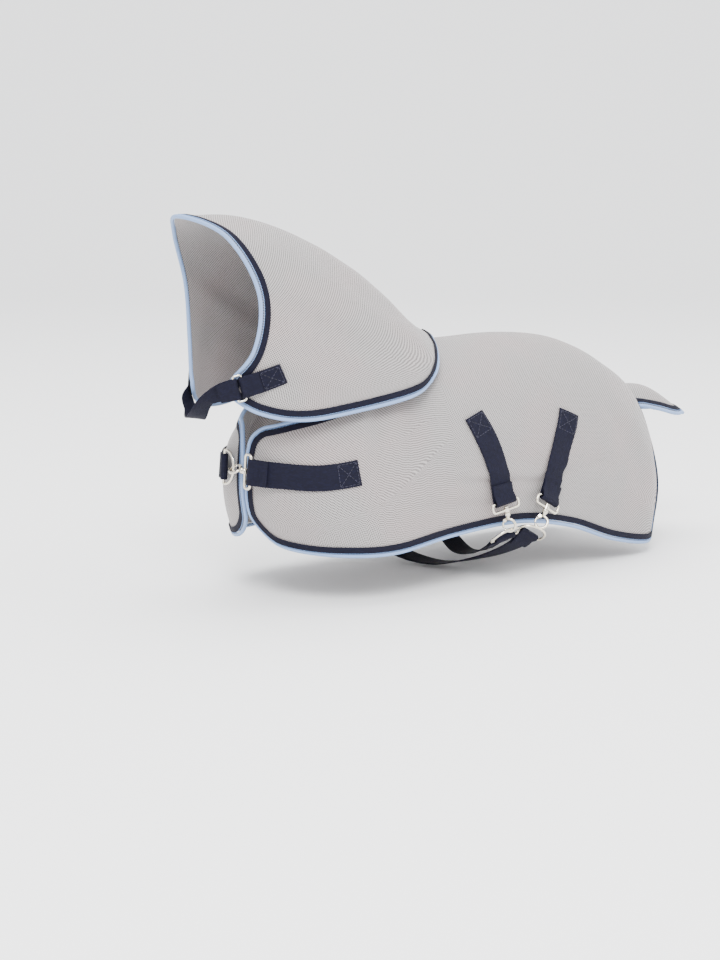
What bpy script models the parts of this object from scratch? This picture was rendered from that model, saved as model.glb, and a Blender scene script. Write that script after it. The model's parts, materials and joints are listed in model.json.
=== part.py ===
"""Fly sheet for a plush show pony: a mesh body sheet, a mesh neck cover, a tail flap,
two-tone bound edges, webbing straps and swivel snaps with rings.

The sheet is modelled as it hangs when worn and fastened. -X points towards the head, +X
towards the tail, -Y is the pony's left side and +Z is up. The origin is on the inside of
the spine tape, where the sheet sits on the middle of the back.
"""

import math

import bmesh
import bpy
import numpy as np
from mathutils import Vector
from mathutils.bvhtree import BVHTree

# ---- Driving sizes, in metres ------------------------------------------------------------

BODY_LENGTH = 0.392  # chest edge to rear edge, along the back
BODY_HALF_WIDTH = 0.088  # middle of the back to the widest part of the barrel
BODY_DROP = 0.178  # top of the back to the lowest part of the hem
NECK_RISE = 0.110  # top of the back to the top of the neck cover

FABRIC = 0.0012  # thickness of the mesh cloth
TAPE_WIDTH = 0.0052  # flat binding on the outer face, along every free edge
TAPE = 0.0006  # its thickness
PIPING_RADIUS = 0.0016  # round cord beyond the binding
SEAM_TAPE_WIDTH = 0.009  # covers the centre seams

WEBBING_WIDTH = 0.020
WEBBING = 0.0011  # thickness of one layer

GAP = 0.0003  # between pieces that touch
LAYER = 0.0044  # from the middle of the body sheet to that of the neck cover over it

WIRE_RADIUS = 0.0011  # of the eyes, rings and hooks
EYE_WIDTH = 0.0262  # centre line to centre line, across the strap
EYE_DEPTH = 0.0070
RING_DEPTH = 0.0125  # bar to bow, centre line to centre line
LOOP_ROOM = 0.0006  # between a folded strap and the wire in it
HOOK_RADIUS = 0.0050  # centre line of the hook's bow
HOOK_REACH = 0.0195  # eye bar to the middle of the bow
HOOK_TURN = math.radians(56)  # how far the hook is turned out of the strap's plane
POST_RADIUS = 0.0011
COLLAR_RADIUS = 0.0024
PIN_RADIUS = 0.0005
GATE_RADIUS = 0.0008
CHEST_RISE = 0.0052  # how far the end of a chest strap stands off the cloth
TAB_RISE = 0.0036

TAPE_REST = 0.0003  # more room under the binding, where the cloth is curved
STRAP_REST = 0.0004  # and under the straps
EDGE_STEP = 0.0020  # how far a strap rises to pass over the edging
UNDER = 0.0046  # from the middle of the body sheet down to that of the tail flap under it
RING_DROP = math.radians(48)  # how far the belly rings turn in under the belly
BELLY_Z = -0.181  # the straps under the belly
BELLY_CROSS = 0.0030  # half the distance between them where they cross
GATE_START = math.radians(210)
HOOK_TIP = math.radians(-60)
TIP_ROOM = math.radians(10.5)  # between the gate's end and the hook's, so the gate swings clear

THROAT_WIDTH = 0.016
THROAT_RISE = 0.0030
THROAT_RUN_ON = 0.009  # how far the throat strap runs straight on past the neck cover
THROAT_SAG = np.array([-0.0064, 0, -0.024])  # pull on the strap under the throat
THROAT_EASE = 0.018  # how far its two ends hold their directions
KEEPER_WIRE = 0.0008
KEEPER_DEPTH = 0.0062

# ---- Pattern blocks, in millimetres, on a pony of the block's own size --------------------

BLOCK_LENGTH, BLOCK_HALF_WIDTH, BLOCK_DROP = 392.0, 88.0, 178.0
BLOCK_RISE = 110.0
SEAT_X = 30.0  # where the origin is along the back

# Ribs of one side of the body sheet, chest edge to rear edge. Each runs from the neckline
# or the spine down to the hem, as (along the back, out from the middle, above the ground).
BODY_RIBS = (
    ((-204, 7, 262), (-207, 4.6, 241), (-208, 4.6, 221), (-206, 4.8, 202), (-200, 8, 184)),
    ((-190, 29, 268), (-199, 33, 244), (-201, 35, 220), (-199, 35, 197), (-192, 36, 176)),
    ((-158, 49, 278), (-172, 61, 250), (-176, 66, 222), (-175, 68, 197), (-169, 68, 173)),
    ((-108, 50, 295), (-122, 70, 266), (-127, 79, 234), (-129, 83, 202), (-127, 83, 172)),
    ((-42, 0, 318), (-58, 50, 298), (-66, 77, 262), (-68, 86, 218), (-67, 84, 179)),
    ((4, 0, 320), (2, 52, 303), (0, 80, 264), (-1, 88, 219), (-2, 87, 182)),
    ((55, 0, 320), (55, 53, 303), (55, 81, 262), (55, 88, 214), (55, 86, 172)),
    ((106, 0, 313), (106, 53, 297), (106, 81, 255), (107, 87, 204), (107, 83, 154)),
    ((149, 0, 293), (151, 47, 277), (153, 73, 240), (156, 79, 193), (154, 76, 144)),
    ((184, 0, 271), (184, 29, 257), (184, 47, 228), (187, 56, 188), (180, 58, 146)),
)
# Ribs of one side of the neck cover, face edge to rear edge, ridge down to the hem.
NECK_RIBS = (
    ((-264, 0, 428), (-245, 34, 414), (-226, 48, 373), (-227, 43, 329), (-241, 22, 299)),
    ((-215, 0, 426), (-203, 36, 406), (-194, 53, 365), (-202, 54, 319), (-222, 40, 284)),
    ((-165, 0, 411), (-157, 40, 389), (-155, 58, 350), (-168, 62, 309), (-192, 56, 278)),
    ((-115, 0, 384), (-110, 43, 362), (-114, 63, 332), (-128, 69, 304), (-148, 68, 283)),
    ((-70, 0, 347), (-68, 42, 333), (-78, 62, 317), (-91, 71, 302), (-105, 74, 290)),
    ((-28, 0, 325.5), (-38, 22, 321.5), (-49, 39, 315), (-62, 54, 307), (-76, 65, 297)),
)
# Ribs of one side of the tail flap, dock to end, ridge to side edge.
FLAP_RIBS = (
    ((172, 0, 276.5), (172, 15, 272), (173, 24, 264)),
    ((194, 0, 265), (194, 15, 262), (194, 27, 252)),
    ((222, 0, 262), (222, 16, 258), (222, 29, 244)),
    ((259, 0, 240), (258, 17, 237), (254, 31, 226)),
)
BACK_Z = 320.5  # the block's height over the ground at the seat

CORE_Z = -0.09  # a level inside the barrel
RIDGE_BLEND = 0.012
ROW_CROWDING = 1.15  # above 1, the rows of a panel's mesh are closer near its seam
SEAM_ROW = 0.022
LEVEL_SLACK = 0.00018  # a fall this small under the seam leaves the tape level
EDGE_FADE = 0.016  # over this distance past an edge, a sheet lying over it comes down again
SPINE_START = 4 / 9  # where the spine seam starts along the body ribs: the withers

# Straps on the panels, as (share along the ribs, share down them), from the sewn end.
CHEST_LINE = ((0.275, 0.43), (0.13, 0.38), (0.0, 0.345))
FRONT_TAB_LINE = ((0.483, 0.48), (0.508, 0.68), (0.517, 0.875))
REAR_TAB_LINE = ((0.667, 0.50), (0.630, 0.70), (0.601, 0.885))
FRONT_SURCINGLE_LINE = ((0.470, 0.46), (0.478, 0.72), (0.485, 0.99))
REAR_SURCINGLE_LINE = ((0.668, 0.46), (0.660, 0.72), (0.652, 0.99))
THROAT_LINE = ((0.175, 0.80), (0.11, 0.87), (0.055, 0.93))
THROAT_STRAP_LINE = ((0.10, 0.62), (0.10, 0.82), (0.10, 0.99))

# ---- Materials ----------------------------------------------------------------------------

COLOURS = {
    "mesh_fabric": ((0.60, 0.57, 0.55), 0.85, 0.0),
    "navy_tape": ((0.012, 0.013, 0.035), 0.8, 0.0),
    "blue_cord": ((0.42, 0.52, 0.71), 0.75, 0.0),
    "navy_webbing": ((0.010, 0.011, 0.030), 0.8, 0.0),
    "nickel": ((0.80, 0.77, 0.70), 0.22, 1.0),
}


def material(name):
    """The Principled material of that name, made on first use."""
    found = bpy.data.materials.get(name)
    if found:
        return found
    made = bpy.data.materials.new(name)
    made.use_nodes = True
    colour, roughness, metallic = COLOURS[name]
    shader = made.node_tree.nodes["Principled BSDF"]
    shader.inputs["Base Color"].default_value = (*colour, 1)
    shader.inputs["Roughness"].default_value = roughness
    shader.inputs["Metallic"].default_value = metallic
    return made


# ---- Curves and surfaces ------------------------------------------------------------------


def surface_tree(points):
    """A search tree over the faces between a grid of points."""
    rows, columns = points.shape[:2]
    faces = []
    for i in range(rows - 1):
        for j in range(columns - 1):
            a, b = i * columns + j, (i + 1) * columns + j
            faces += [(a, b, b + 1), (a, b + 1, a + 1)]
    return BVHTree.FromPolygons([Vector(p) for p in points.reshape(-1, 3)], faces)


def unit(v):
    """Vectors of length one along v's last axis."""
    v = np.asarray(v, float)
    return v / np.maximum(np.linalg.norm(v, axis=-1, keepdims=True), 1e-12)


def graded(block):
    """Block millimetres as metres in the part's frame, graded to the driving sizes."""
    p = np.asarray(block, float)
    x = (p[..., 0] - SEAT_X) * BODY_LENGTH / BLOCK_LENGTH
    y = p[..., 1] * BODY_HALF_WIDTH / BLOCK_HALF_WIDTH
    z = p[..., 2] - BACK_Z
    z = np.where(z > 0, z * NECK_RISE / BLOCK_RISE, z * BODY_DROP / BLOCK_DROP)
    return np.stack([x, y, z + FABRIC / 2 + GAP + TAPE], -1)


def spline(points, u, before=None):
    """A smooth curve through the points, read at u, which runs from 0 to 1."""
    points = np.asarray(points, float)
    last = len(points) - 1
    before = 2 * points[0] - points[1] if before is None else before
    padded = np.concatenate([before[None], points, 2 * points[-1:] - points[-2:-1]])
    u = np.clip(np.asarray(u, float), 0, 1) * last
    k = np.minimum(u.astype(int), last - 1)
    f = (u - k).reshape(u.shape + (1,) * (points.ndim - 1))
    a, b, c, d = (padded[k + i] for i in range(4))
    return 0.5 * (
        2 * b + (c - a) * f + (2 * a - 5 * b + 4 * c - d) * f**2 + (3 * b - a - 3 * c + d) * f**3
    )


def bezier(pulls, count):
    """Places evenly along the smooth curve that the pulls shape, without its two ends."""
    share = np.linspace(0, 1, count + 2)[1:-1, None]
    rows = [np.tile(pull, (count, 1)) for pull in pulls]
    while len(rows) > 1:
        rows = [a * (1 - share) + b * share for a, b in zip(rows, rows[1:])]
    return list(rows[0])


class Panel:
    """One side of a draped sheet: a smooth surface through ribs, with rounded corners.

    Places on it are (s, t): s runs along the ribs and t down them, both from 0 to 1.
    side is -1 on the pony's left and 1 on its right. corners holds the radius, as a share
    of each direction, at (0, 0), (0, 1), (1, 1) and (1, 0).
    """

    def __init__(self, ribs, side, corners, size, under=None, clear=0.0):
        self.net = graded(ribs)
        self.side = side
        self.corners = corners
        self.under, self.clear = under, clear
        self.points, self.normals = self.grid(*size)
        self.tree = surface_tree(self.points)

    def point(self, s, t):
        """The middle of the cloth at (s, t)."""
        s, t = np.broadcast_arrays(np.asarray(s, float), np.asarray(t, float))
        ribs = spline(self.net, s.ravel())
        mirror = np.array([1, -1, 1])
        found = []
        for rib, v in zip(ribs, t.ravel()):
            # Over the seam the cloth runs on level to the other side.
            level = min(max(1 - rib[0, 1] / RIDGE_BLEND, 0), 1)
            before = rib[1] * mirror * level + (2 * rib[0] - rib[1]) * (1 - level)
            found.append(spline(rib, np.array([v]), before)[0])
        found = np.array(found)
        found = found.reshape(s.shape + (3,))
        found[..., 1] = np.maximum(found[..., 1], 0) * self.side
        return self.under.lifted(found, self.clear) if self.under else found

    def on(self, points, lift):
        """The points moved to that height over the cloth, and the cloth's normals there."""
        places, normals = [], []
        for p in np.asarray(points, float):
            place, normal, _, _ = self.tree.find_nearest(Vector(p))
            normal = np.array(normal)
            normal *= 1 if normal @ self.out(np.array(place)) > 0 else -1
            places.append(np.array(place) + normal * lift)
            normals.append(normal)
        return np.array(places), np.array(normals)

    def out(self, place):
        """Roughly outwards at a place: away from a line inside the pony."""
        return np.array([0.15 * place[0], place[1], place[2] - CORE_Z])

    def lifted(self, points, clear):
        """Points moved off this sheet where they are nearer than clear: out, or in if it's below 0."""
        flat = points.reshape(-1, 3).copy()
        for i, p in enumerate(flat):
            place, normal, _, _ = self.tree.find_nearest(Vector(p))
            place, normal = np.array(place), np.array(normal)
            normal *= 1 if normal @ self.out(place) > 0 else -1
            height = (p - place) @ normal
            beside = np.linalg.norm(p - place - normal * height)
            fade = 1 - min(beside / EDGE_FADE, 1)
            move = max(clear - height, 0) if clear > 0 else min(clear - height, 0)
            flat[i] = p + normal * move * fade * fade * (3 - 2 * fade)
        return flat.reshape(points.shape)

    def normal(self, s, t, step=2e-3):
        """The outward direction at (s, t)."""
        s, t = np.broadcast_arrays(np.asarray(s, float), np.asarray(t, float))
        low_s, high_s = np.clip(s - step, 0, 1), np.clip(s + step, 0, 1)
        low_t, high_t = np.clip(t - step, 0, 1), np.clip(t + step, 0, 1)
        along = self.point(high_s, t) - self.point(low_s, t)
        down = self.point(s, high_t) - self.point(s, low_t)
        return unit(np.cross(down, along)) * self.side * -1

    def rounded(self, u, v):
        """(s, t) for (u, v) in a square, with the square's corners drawn in to arcs."""
        a, b = 2 * np.asarray(u, float) - 1, 2 * np.asarray(v, float) - 1
        ring = np.maximum(np.maximum(np.abs(a), np.abs(b)), 1e-9)
        a, b = a / ring, b / ring
        radii = np.where(
            a < 0,
            np.where(b < 0, 0, 1),
            np.where(b < 0, 3, 2),
        )
        radius_s = np.array([c[0] * 2 for c in self.corners])[radii]
        radius_t = np.array([c[1] * 2 for c in self.corners])[radii]
        over_s = (np.abs(a) - (1 - radius_s)) / np.maximum(radius_s, 1e-9)
        over_t = (np.abs(b) - (1 - radius_t)) / np.maximum(radius_t, 1e-9)
        bend = (over_s > 0) & (over_t > 0) & (radius_s > 0)
        reach = np.maximum(np.hypot(over_s, over_t), 1e-9)
        arc_s = np.sign(a) * (1 - radius_s + radius_s * over_s / reach)
        arc_t = np.sign(b) * (1 - radius_t + radius_t * over_t / reach)
        a, b = np.where(bend, arc_s, a) * ring, np.where(bend, arc_t, b) * ring
        return (a + 1) / 2, (b + 1) / 2

    def grid(self, along, down):
        """(points, normals) of a grid over the sheet."""
        rows = np.linspace(0, 1, down - 1) ** ROW_CROWDING
        rows = np.insert(rows, 1, SEAM_ROW)
        u, v = np.meshgrid(np.linspace(0, 1, along), rows, indexing="ij")
        points = self.point(*self.rounded(u, v))
        along, down = np.gradient(points, axis=0), np.gradient(points, axis=1)
        normals = unit(np.cross(along, down)) * self.side * -1
        if normals[along.shape[0] // 2, 0, 2] < 0:
            normals = -normals
        seam = np.abs(points[:, 0, 1]) < GAP
        normals[seam, 0, 1] = 0
        return points, unit(normals)


class SurfacePath:
    """A line over a panel between (s, t) places, read by distance from its start."""

    def __init__(self, panel, places, samples=60):
        self.panel = panel
        places = spline(np.array(places), np.linspace(0, 1, samples))
        self.points = panel.point(places[:, 0], places[:, 1])
        self.normals = panel.normal(places[:, 0], places[:, 1])
        steps = np.linalg.norm(np.diff(self.points, axis=0), axis=1)
        self.lengths = np.concatenate([[0], np.cumsum(steps)])
        self.length = self.lengths[-1]

    def read(self, rows, distance):
        """Rows read at a distance."""
        return np.array([np.interp(distance, self.lengths, rows[:, i]) for i in range(3)])

    def end(self):
        """(point, direction, normal) at its end."""
        return self.at(self.length)

    def at(self, distance):
        """(point, direction, normal) that far along, straight on past the ends."""
        inside = min(max(distance, 0), self.length)
        normal = unit(self.read(self.normals, inside))
        low, high = max(inside - 2e-3, 0), min(inside + 2e-3, self.length)
        direction = unit(self.read(self.points, high) - self.read(self.points, low))
        direction = unit(direction - normal * (direction @ normal))
        point = self.read(self.points, inside) + direction * (distance - inside)
        return point, direction, normal


class Frame:
    """A place with three directions: along, across and out."""

    def __init__(self, origin, along, out):
        self.origin = np.array(origin, float)
        self.along = unit(along)
        self.out = unit(out - self.along * (np.dot(out, self.along)))
        self.across = np.cross(self.out, self.along)

    def place(self, along=0.0, across=0.0, out=0.0):
        """The point that far along each direction."""
        return self.origin + self.along * along + self.across * across + self.out * out


# ---- Solids -------------------------------------------------------------------------------


def solid(name, points, faces, finish, smooth=True):
    """An object from points and faces, with its normals made to point out."""
    mesh = bpy.data.meshes.new(name)
    mesh.from_pydata([tuple(map(float, p)) for p in points], [], faces)
    work = bmesh.new()
    work.from_mesh(mesh)
    bmesh.ops.recalc_face_normals(work, faces=work.faces)
    if work.calc_volume(signed=True) < 0:
        bmesh.ops.reverse_faces(work, faces=work.faces)
    work.to_mesh(mesh)
    work.free()
    if smooth:
        mesh.shade_smooth()
        mesh.set_sharp_from_angle(angle=math.radians(40))
    mesh.materials.append(material(finish))
    made = bpy.data.objects.new(name, mesh)
    bpy.context.scene.collection.objects.link(made)
    return made


def combined(target, others, operation):
    """The target with the others joined to it or cut from it. The others are used up."""
    for other in others:
        step = target.modifiers.new("step", "BOOLEAN")
        step.operation = operation
        step.solver = "EXACT"
        step.object = other
        bpy.context.view_layer.update()
        graph = bpy.context.evaluated_depsgraph_get()
        mesh = bpy.data.meshes.new_from_object(target.evaluated_get(graph))
        target.modifiers.remove(step)
        target.data = mesh
        bpy.data.objects.remove(other)
    target.data.shade_smooth()
    target.data.set_sharp_from_angle(angle=math.radians(40))
    return target


def loop_faces(stations, sides, closed):
    """Faces of a skin over cross-sections of that many points, capped if it isn't closed."""
    faces = []
    for i in range(stations if closed else stations - 1):
        j = (i + 1) % stations
        for k in range(sides):
            m = (k + 1) % sides
            faces.append((i * sides + k, i * sides + m, j * sides + m, j * sides + k))
    if not closed:
        faces.append(tuple(range(sides)))
        faces.append(tuple((stations - 1) * sides + k for k in reversed(range(sides))))
    return faces


def cloth(name, points, normals, thickness, finish):
    """A closed sheet of that thickness around a grid of points."""
    rows, columns = points.shape[:2]
    outer = (points + normals * thickness / 2).reshape(-1, 3)
    inner = (points - normals * thickness / 2).reshape(-1, 3)
    count = rows * columns
    faces = []
    for i in range(rows - 1):
        for j in range(columns - 1):
            a, b = i * columns + j, (i + 1) * columns + j
            faces += [(a, b, b + 1), (a, b + 1, a + 1)]
            a, b = a + count, b + count
            faces += [(a, b + 1, b), (a, a + 1, b + 1)]
    rim = [i * columns for i in range(rows)]
    rim += [(rows - 1) * columns + j for j in range(1, columns)]
    rim += [i * columns + columns - 1 for i in reversed(range(rows - 1))]
    rim += [j for j in reversed(range(1, columns - 1))]
    for a, b in zip(rim, rim[1:] + rim[:1]):
        faces.append((a, count + a, count + b, b))
    return solid(name, np.concatenate([outer, inner]), faces, finish)


def tube(name, points, first, second, radii, sides, finish, closed=False):
    """A round bar along points, whose sections lie along first and second."""
    turn = np.arange(sides) * 2 * math.pi / sides
    radii = np.broadcast_to(np.asarray(radii, float), (len(points),))[:, None, None]
    first, second = np.broadcast_to(first, points.shape), np.broadcast_to(second, points.shape)
    section = np.cos(turn)[None, :, None] * first[:, None] + np.sin(turn)[None, :, None] * second[:, None]
    skin = (points[:, None] + section * radii).reshape(-1, 3)
    return solid(name, skin, loop_faces(len(points), sides, closed), finish)


def rod(name, frame, profile, sides, finish):
    """A turned piece on the frame's along line, from a profile of (along, radius)."""
    points = np.array([frame.place(along) for along, _ in profile])
    radii = [radius for _, radius in profile]
    return tube(name, points, frame.across, frame.out, radii, sides, finish)


# ---- Edging -------------------------------------------------------------------------------


def rim_of(points, normals, start, closed_end):
    """(points, normals, inward) along a panel's free edge, seam to seam."""
    rows, columns = points.shape[:2]
    walk = [(i, 0) for i in range(start, 0, -1)]
    walk += [(0, j) for j in range(columns - 1)] if closed_end else []
    walk += [(i, columns - 1) for i in range(rows - 1)]
    walk += [(rows - 1, j) for j in range(columns - 1, -1, -1)]
    i, j = np.array(walk).T
    return points[i, j], normals[i, j]


def edging(prefix, panel, start=0, closed_end=True):
    """The flat tape and the round cord around a sheet, from its left panel and the mirror."""
    points, normals = rim_of(panel.points, panel.normals, start, closed_end)
    seam = [-1] + ([0] if closed_end else [])
    for k in seam:
        points[k, 1], normals[k, 1] = 0, 0
    normals = unit(normals)
    flip = np.array([1, -1, 1])
    inner = slice(1, -1) if closed_end else slice(0, -1)
    points = np.concatenate([points, (points[inner] * flip)[::-1]])
    normals = np.concatenate([normals, (normals[inner] * flip)[::-1]])
    if closed_end:
        along = unit(np.roll(points, -1, axis=0) - np.roll(points, 1, axis=0))
    else:
        along = unit(np.gradient(points, axis=0))
    outward = unit(np.cross(along, normals))
    middle = len(points) // 4
    if outward[middle] @ (points[middle] - points.mean(axis=0)) < 0:
        outward = -outward
    right = points[:, 1:2] > 0

    def on_cloth(places):
        """The nearest places and normals, read from the left panel for both sides."""
        found, out = panel.on(places * np.where(right, flip, 1), 0)
        return found * np.where(right, flip, 1), out * np.where(right, flip, 1)

    inside, inside_normals = on_cloth(points - outward * TAPE_WIDTH)
    lift = np.full(len(points), FABRIC / 2 + GAP + TAPE_REST)
    # The flat tape bridges any bulge of the cloth under it.
    need = np.zeros(len(points))
    for share in (0.3, 0.6, 0.85):
        chord = points * (1 - share) + inside * share
        for shift in (0, 0.33, 0.67):
            place = chord * (1 - shift) + np.roll(chord, -1, axis=0) * shift
            under, out = on_cloth(place)
            bulge = ((under - place) * out).sum(axis=1)
            need = np.maximum(need, np.maximum(bulge, np.roll(bulge, 1) if shift else bulge))
    if not closed_end:
        need[-1] = need[0] = 0
    lift = (lift + np.clip(need, 0, 0.0015))[:, None]
    corners = [
        points + normals * lift,
        inside + inside_normals * lift,
        inside + inside_normals * (lift + TAPE),
        points + normals * (lift + TAPE),
    ]
    skin = np.stack(corners, 1).reshape(-1, 3)
    faces = loop_faces(len(points), 4, closed_end)
    solid(f"{prefix}_binding_tape", skin, faces, "navy_tape")
    cord = points + outward * (PIPING_RADIUS + GAP)
    tube(f"{prefix}_piping", cord, outward, normals, PIPING_RADIUS, 5, "blue_cord", closed_end)


def seam_tape(name, panel, start, rest=0.0):
    """The tape under a centre seam: level in the middle, its sides down with the cloth."""
    middle = panel.points[start:, 0] * np.array([1, 0, 1])
    normals = unit(panel.normals[start:, 0] * np.array([1, 0, 1]))
    middle[0] += (middle[1] - middle[0]) * 0.12
    middle[-1] += (middle[-2] - middle[-1]) * 0.12
    drop = FABRIC / 2 + GAP + TAPE / 2 + rest
    grid = []
    for share in (-0.5, -0.2, 0.2, 0.5):
        beside = middle - np.array([0, SEAM_TAPE_WIDTH * abs(share), 0])
        fall = panel.on(beside, 0)[0][:, 2] - middle[:, 2]
        place = middle - normals * drop
        place[:, 1] = SEAM_TAPE_WIDTH * share
        place[:, 2] += np.minimum(fall + (0 if abs(share) == 0.5 else LEVEL_SLACK), 0)
        grid.append(place)
    cloth(name, np.stack(grid, 1), np.repeat(normals[:, None], 4, 1), TAPE, "navy_tape")


# ---- Sheets -------------------------------------------------------------------------------


def body_panel(side):
    """One side of the body sheet."""
    return Panel(BODY_RIBS, side, ((0.05, 0.13), (0.08, 0.21), (0.055, 0.18), (0, 0)), (28, 11))


def neck_panel(side, body):
    """One side of the neck cover, where it lies over the body sheet too."""
    corners = ((0, 0), (0.08, 0.09), (0.11, 0.22), (0, 0))
    return Panel(NECK_RIBS, side, corners, (17, 10), body, LAYER)


def flap_panel(side, body):
    """One side of the tail flap, where it starts under the body sheet too."""
    return Panel(FLAP_RIBS, side, ((0, 0), (0, 0), (0.45, 0.75), (0, 0)), (9, 5), body, -UNDER)


def half_sheet(name, panel, finish="mesh_fabric"):
    """A panel as cloth, with its seam edge held back by half a seam's gap."""
    points = panel.points.copy()
    held = np.abs(points[:, 0, 1]) < GAP / 2
    points[held, 0, 1] = panel.side * GAP / 2
    cloth(name, points, panel.normals, FABRIC, finish)


def build_sheets():
    """The body sheet, the neck cover, the tail flap and their edging."""
    body = {side: body_panel(side) for side in (-1, 1)}
    neck = {side: neck_panel(side, body[side]) for side in (-1, 1)}
    flap = flap_panel(-1, body[-1])
    for side, word in ((-1, "left"), (1, "right")):
        half_sheet(f"{word}_body_panel", body[side])
        half_sheet(f"{word}_neck_panel", neck[side])
    # The left panel's grid runs ridge to edge, so it is turned to run edge to ridge first.
    left = flap.points[:, ::-1]
    whole = np.concatenate([left, (left * np.array([1, -1, 1]))[:, ::-1][:, 1:]], 1)
    out = flap.normals[:, ::-1].copy()
    out[:, -1, 1] = 0
    out = unit(np.concatenate([out, (out * np.array([1, -1, 1]))[:, ::-1][:, 1:]], 1))
    cloth("tail_flap", whole, out, FABRIC, "mesh_fabric")
    start = round(SPINE_START * (len(body[-1].points) - 1))
    edging("body", body[-1], start)
    edging("neck", neck[-1])
    edging("flap", flap, closed_end=False)
    seam_tape("spine_seam_tape", body[-1], start)
    seam_tape("ridge_seam_tape", neck[-1], 0, TAPE_REST)
    return body, neck


# ---- Straps -------------------------------------------------------------------------------


def sewn_lift():
    """From the middle of the cloth to that of a strap sewn on it."""
    return FABRIC / 2 + GAP + STRAP_REST + WEBBING / 2


def loop_radius(wire):
    """From a bar's middle to that of the webbing folded round it."""
    return wire + LOOP_ROOM + WEBBING / 2


class Webbing:
    """The stations of a strap, as rows of places across it."""

    def __init__(self, width):
        self.width = width
        self.rows = []
        self.outs = []

    def add(self, middle, along, out, panel=None, lift=0.0):
        """A station. On a panel, its row follows the cloth at that lift."""
        out = unit(out - along * (out @ along) / (along @ along))
        across = unit(np.cross(out, along))
        row = [middle + across * self.width * share for share in (-0.5, 0, 0.5)]
        if panel:
            places, normals = panel.on(row, 0)
            row = [place + normal * lift for place, normal in zip(places, normals)]
        self.rows.append(row)
        self.outs.append([out] * 3)

    def turn(self, bar, wire):
        """The fold round a bar: over its far side, seen from the strap, and back on top."""
        radius = loop_radius(wire)
        for angle in (-60, -25, 10, 45, 80, 112):
            turn = math.radians(angle)
            away = -bar.along * math.cos(turn) + bar.out * math.sin(turn)
            row = bar.origin + away * radius
            across = bar.across * self.width
            self.rows.append([row + across * share for share in (0.5, 0, -0.5)])
            self.outs.append([-away] * 3)

    def back(self, line, distances):
        """The folded end, lying on the strap at those distances back from the bar."""
        for distance in distances:
            middle, along, out = line(distance)
            across = unit(np.cross(out, along)) * self.width
            lifted = middle + out * (WEBBING + GAP * 2)
            self.rows.append([lifted + across * share for share in (-0.5, 0, 0.5)])
            self.outs.append([-out] * 3)

    def build(self, name):
        """The strap as a solid."""
        cloth(name, np.array(self.rows), unit(np.array(self.outs)), WEBBING, "navy_webbing")


def strap_line(path, rise):
    """The middle of a strap on a panel, by distance back from its end."""
    length, start = path.length, sewn_lift()

    def line(distance):
        here = length - distance
        place, along, normal = path.at(here)
        share = max(here / length, 0)
        slope = 3 * rise / length * share**2
        return place + normal * (start + rise * share**3), unit(along + normal * slope), normal

    return line


def end_bar(line, wire):
    """The bar that a strap's end is folded round, with its along pointing off the strap."""
    place, along, out = line(0)
    out = unit(out - along * (out @ along))
    return Frame(place + out * loop_radius(wire), along, out)


def strap_on(name, path, width, rise, wire, held=0.75):
    """A strap on a panel, folded round a bar at its end. Gives that bar."""
    length, start = path.length, sewn_lift()
    strap = Webbing(width)
    line = strap_line(path, rise)
    for here in np.linspace(0, length, max(int(length / 0.007), 4)):
        middle, along, normal = line(length - here)
        on = path.panel if here < length * held else None
        strap.add(middle, along, normal, on, start + rise * (here / length) ** 3)
    bar = end_bar(line, wire)
    strap.turn(Frame(bar.origin, -bar.along, bar.out), wire)
    strap.back(line, (0.0065, 0.010, 0.0135))
    strap.build(name)
    return bar


def strap_under(name, path, width, bar, wire, free, held=1.0, dip=0.0, climb=3, run_on=0.009):
    """A strap sewn on a panel, hanging through the free places to a bar and round it."""
    bar = Frame(bar.origin, -bar.along, bar.out)
    length, start = path.length, sewn_lift()
    strap = Webbing(width)
    for here in np.linspace(0, length, max(int(length / 0.009), 4))[:-1]:
        place, along, normal = path.at(here)
        lift = start + EDGE_STEP * (here / length) ** climb
        on = path.panel if here <= length * held else None
        strap.add(place + normal * lift, along, normal, on, lift)
    place, along, normal = path.end()
    first = place + normal * (start + EDGE_STEP)
    end = bar.origin - bar.out * loop_radius(wire)
    places = [first - along * 0.006, first, first + along * run_on, *free]
    places += [end + bar.along * 0.014 + dip, end]
    share = np.linspace(1 / (len(places) - 1), 1, 22)
    middles = spline(np.array(places), share)
    ways = unit(np.gradient(middles, axis=0))
    outs = []
    for k, (middle, way) in enumerate(zip(middles, ways)):
        part = k / (len(middles) - 1)
        below = unit(np.array([0, 0, -1.0]) + np.array([0, 1.2, 0]) * middle[1] / abs(end[1]))
        side = normal * max(1 - 3 * part, 0) + bar.out * max(3 * part - 2, 0)
        out = side + below * (1 - max(abs(2 * part - 1) * 3 - 2, 0))
        outs.append(unit(out - way * (out @ way)))
        strap.add(middle, way, outs[-1])
    strap.turn(bar, wire)
    steps = np.concatenate([[0], np.cumsum(np.linalg.norm(np.diff(middles, axis=0), axis=1))])

    def line(distance):
        at = steps[-1] - distance
        rows = (middles, ways, np.array(outs))
        read = [np.array([np.interp(at, steps, r[:, i]) for i in range(3)]) for r in rows]
        return read[0], unit(read[1]), unit(read[2])

    strap.back(line, (0.0065, 0.010, 0.0135))
    strap.build(name)


# ---- Snaps and rings ----------------------------------------------------------------------


def wire_loop(name, frame, corners, wire, finish, sides=8):
    """A closed loop of wire in the frame's flat plane, through (along, across) places."""
    flat = np.array(corners)
    points = np.array([frame.place(a, b) for a, b in flat])
    tangent = np.roll(flat, -1, axis=0) - np.roll(flat, 1, axis=0)
    normal = unit(np.stack([tangent[:, 1], -tangent[:, 0]], 1))
    first = normal[:, :1] * frame.along + normal[:, 1:] * frame.across
    return tube(name, points, first, frame.out, wire, sides, finish, closed=True)


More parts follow.
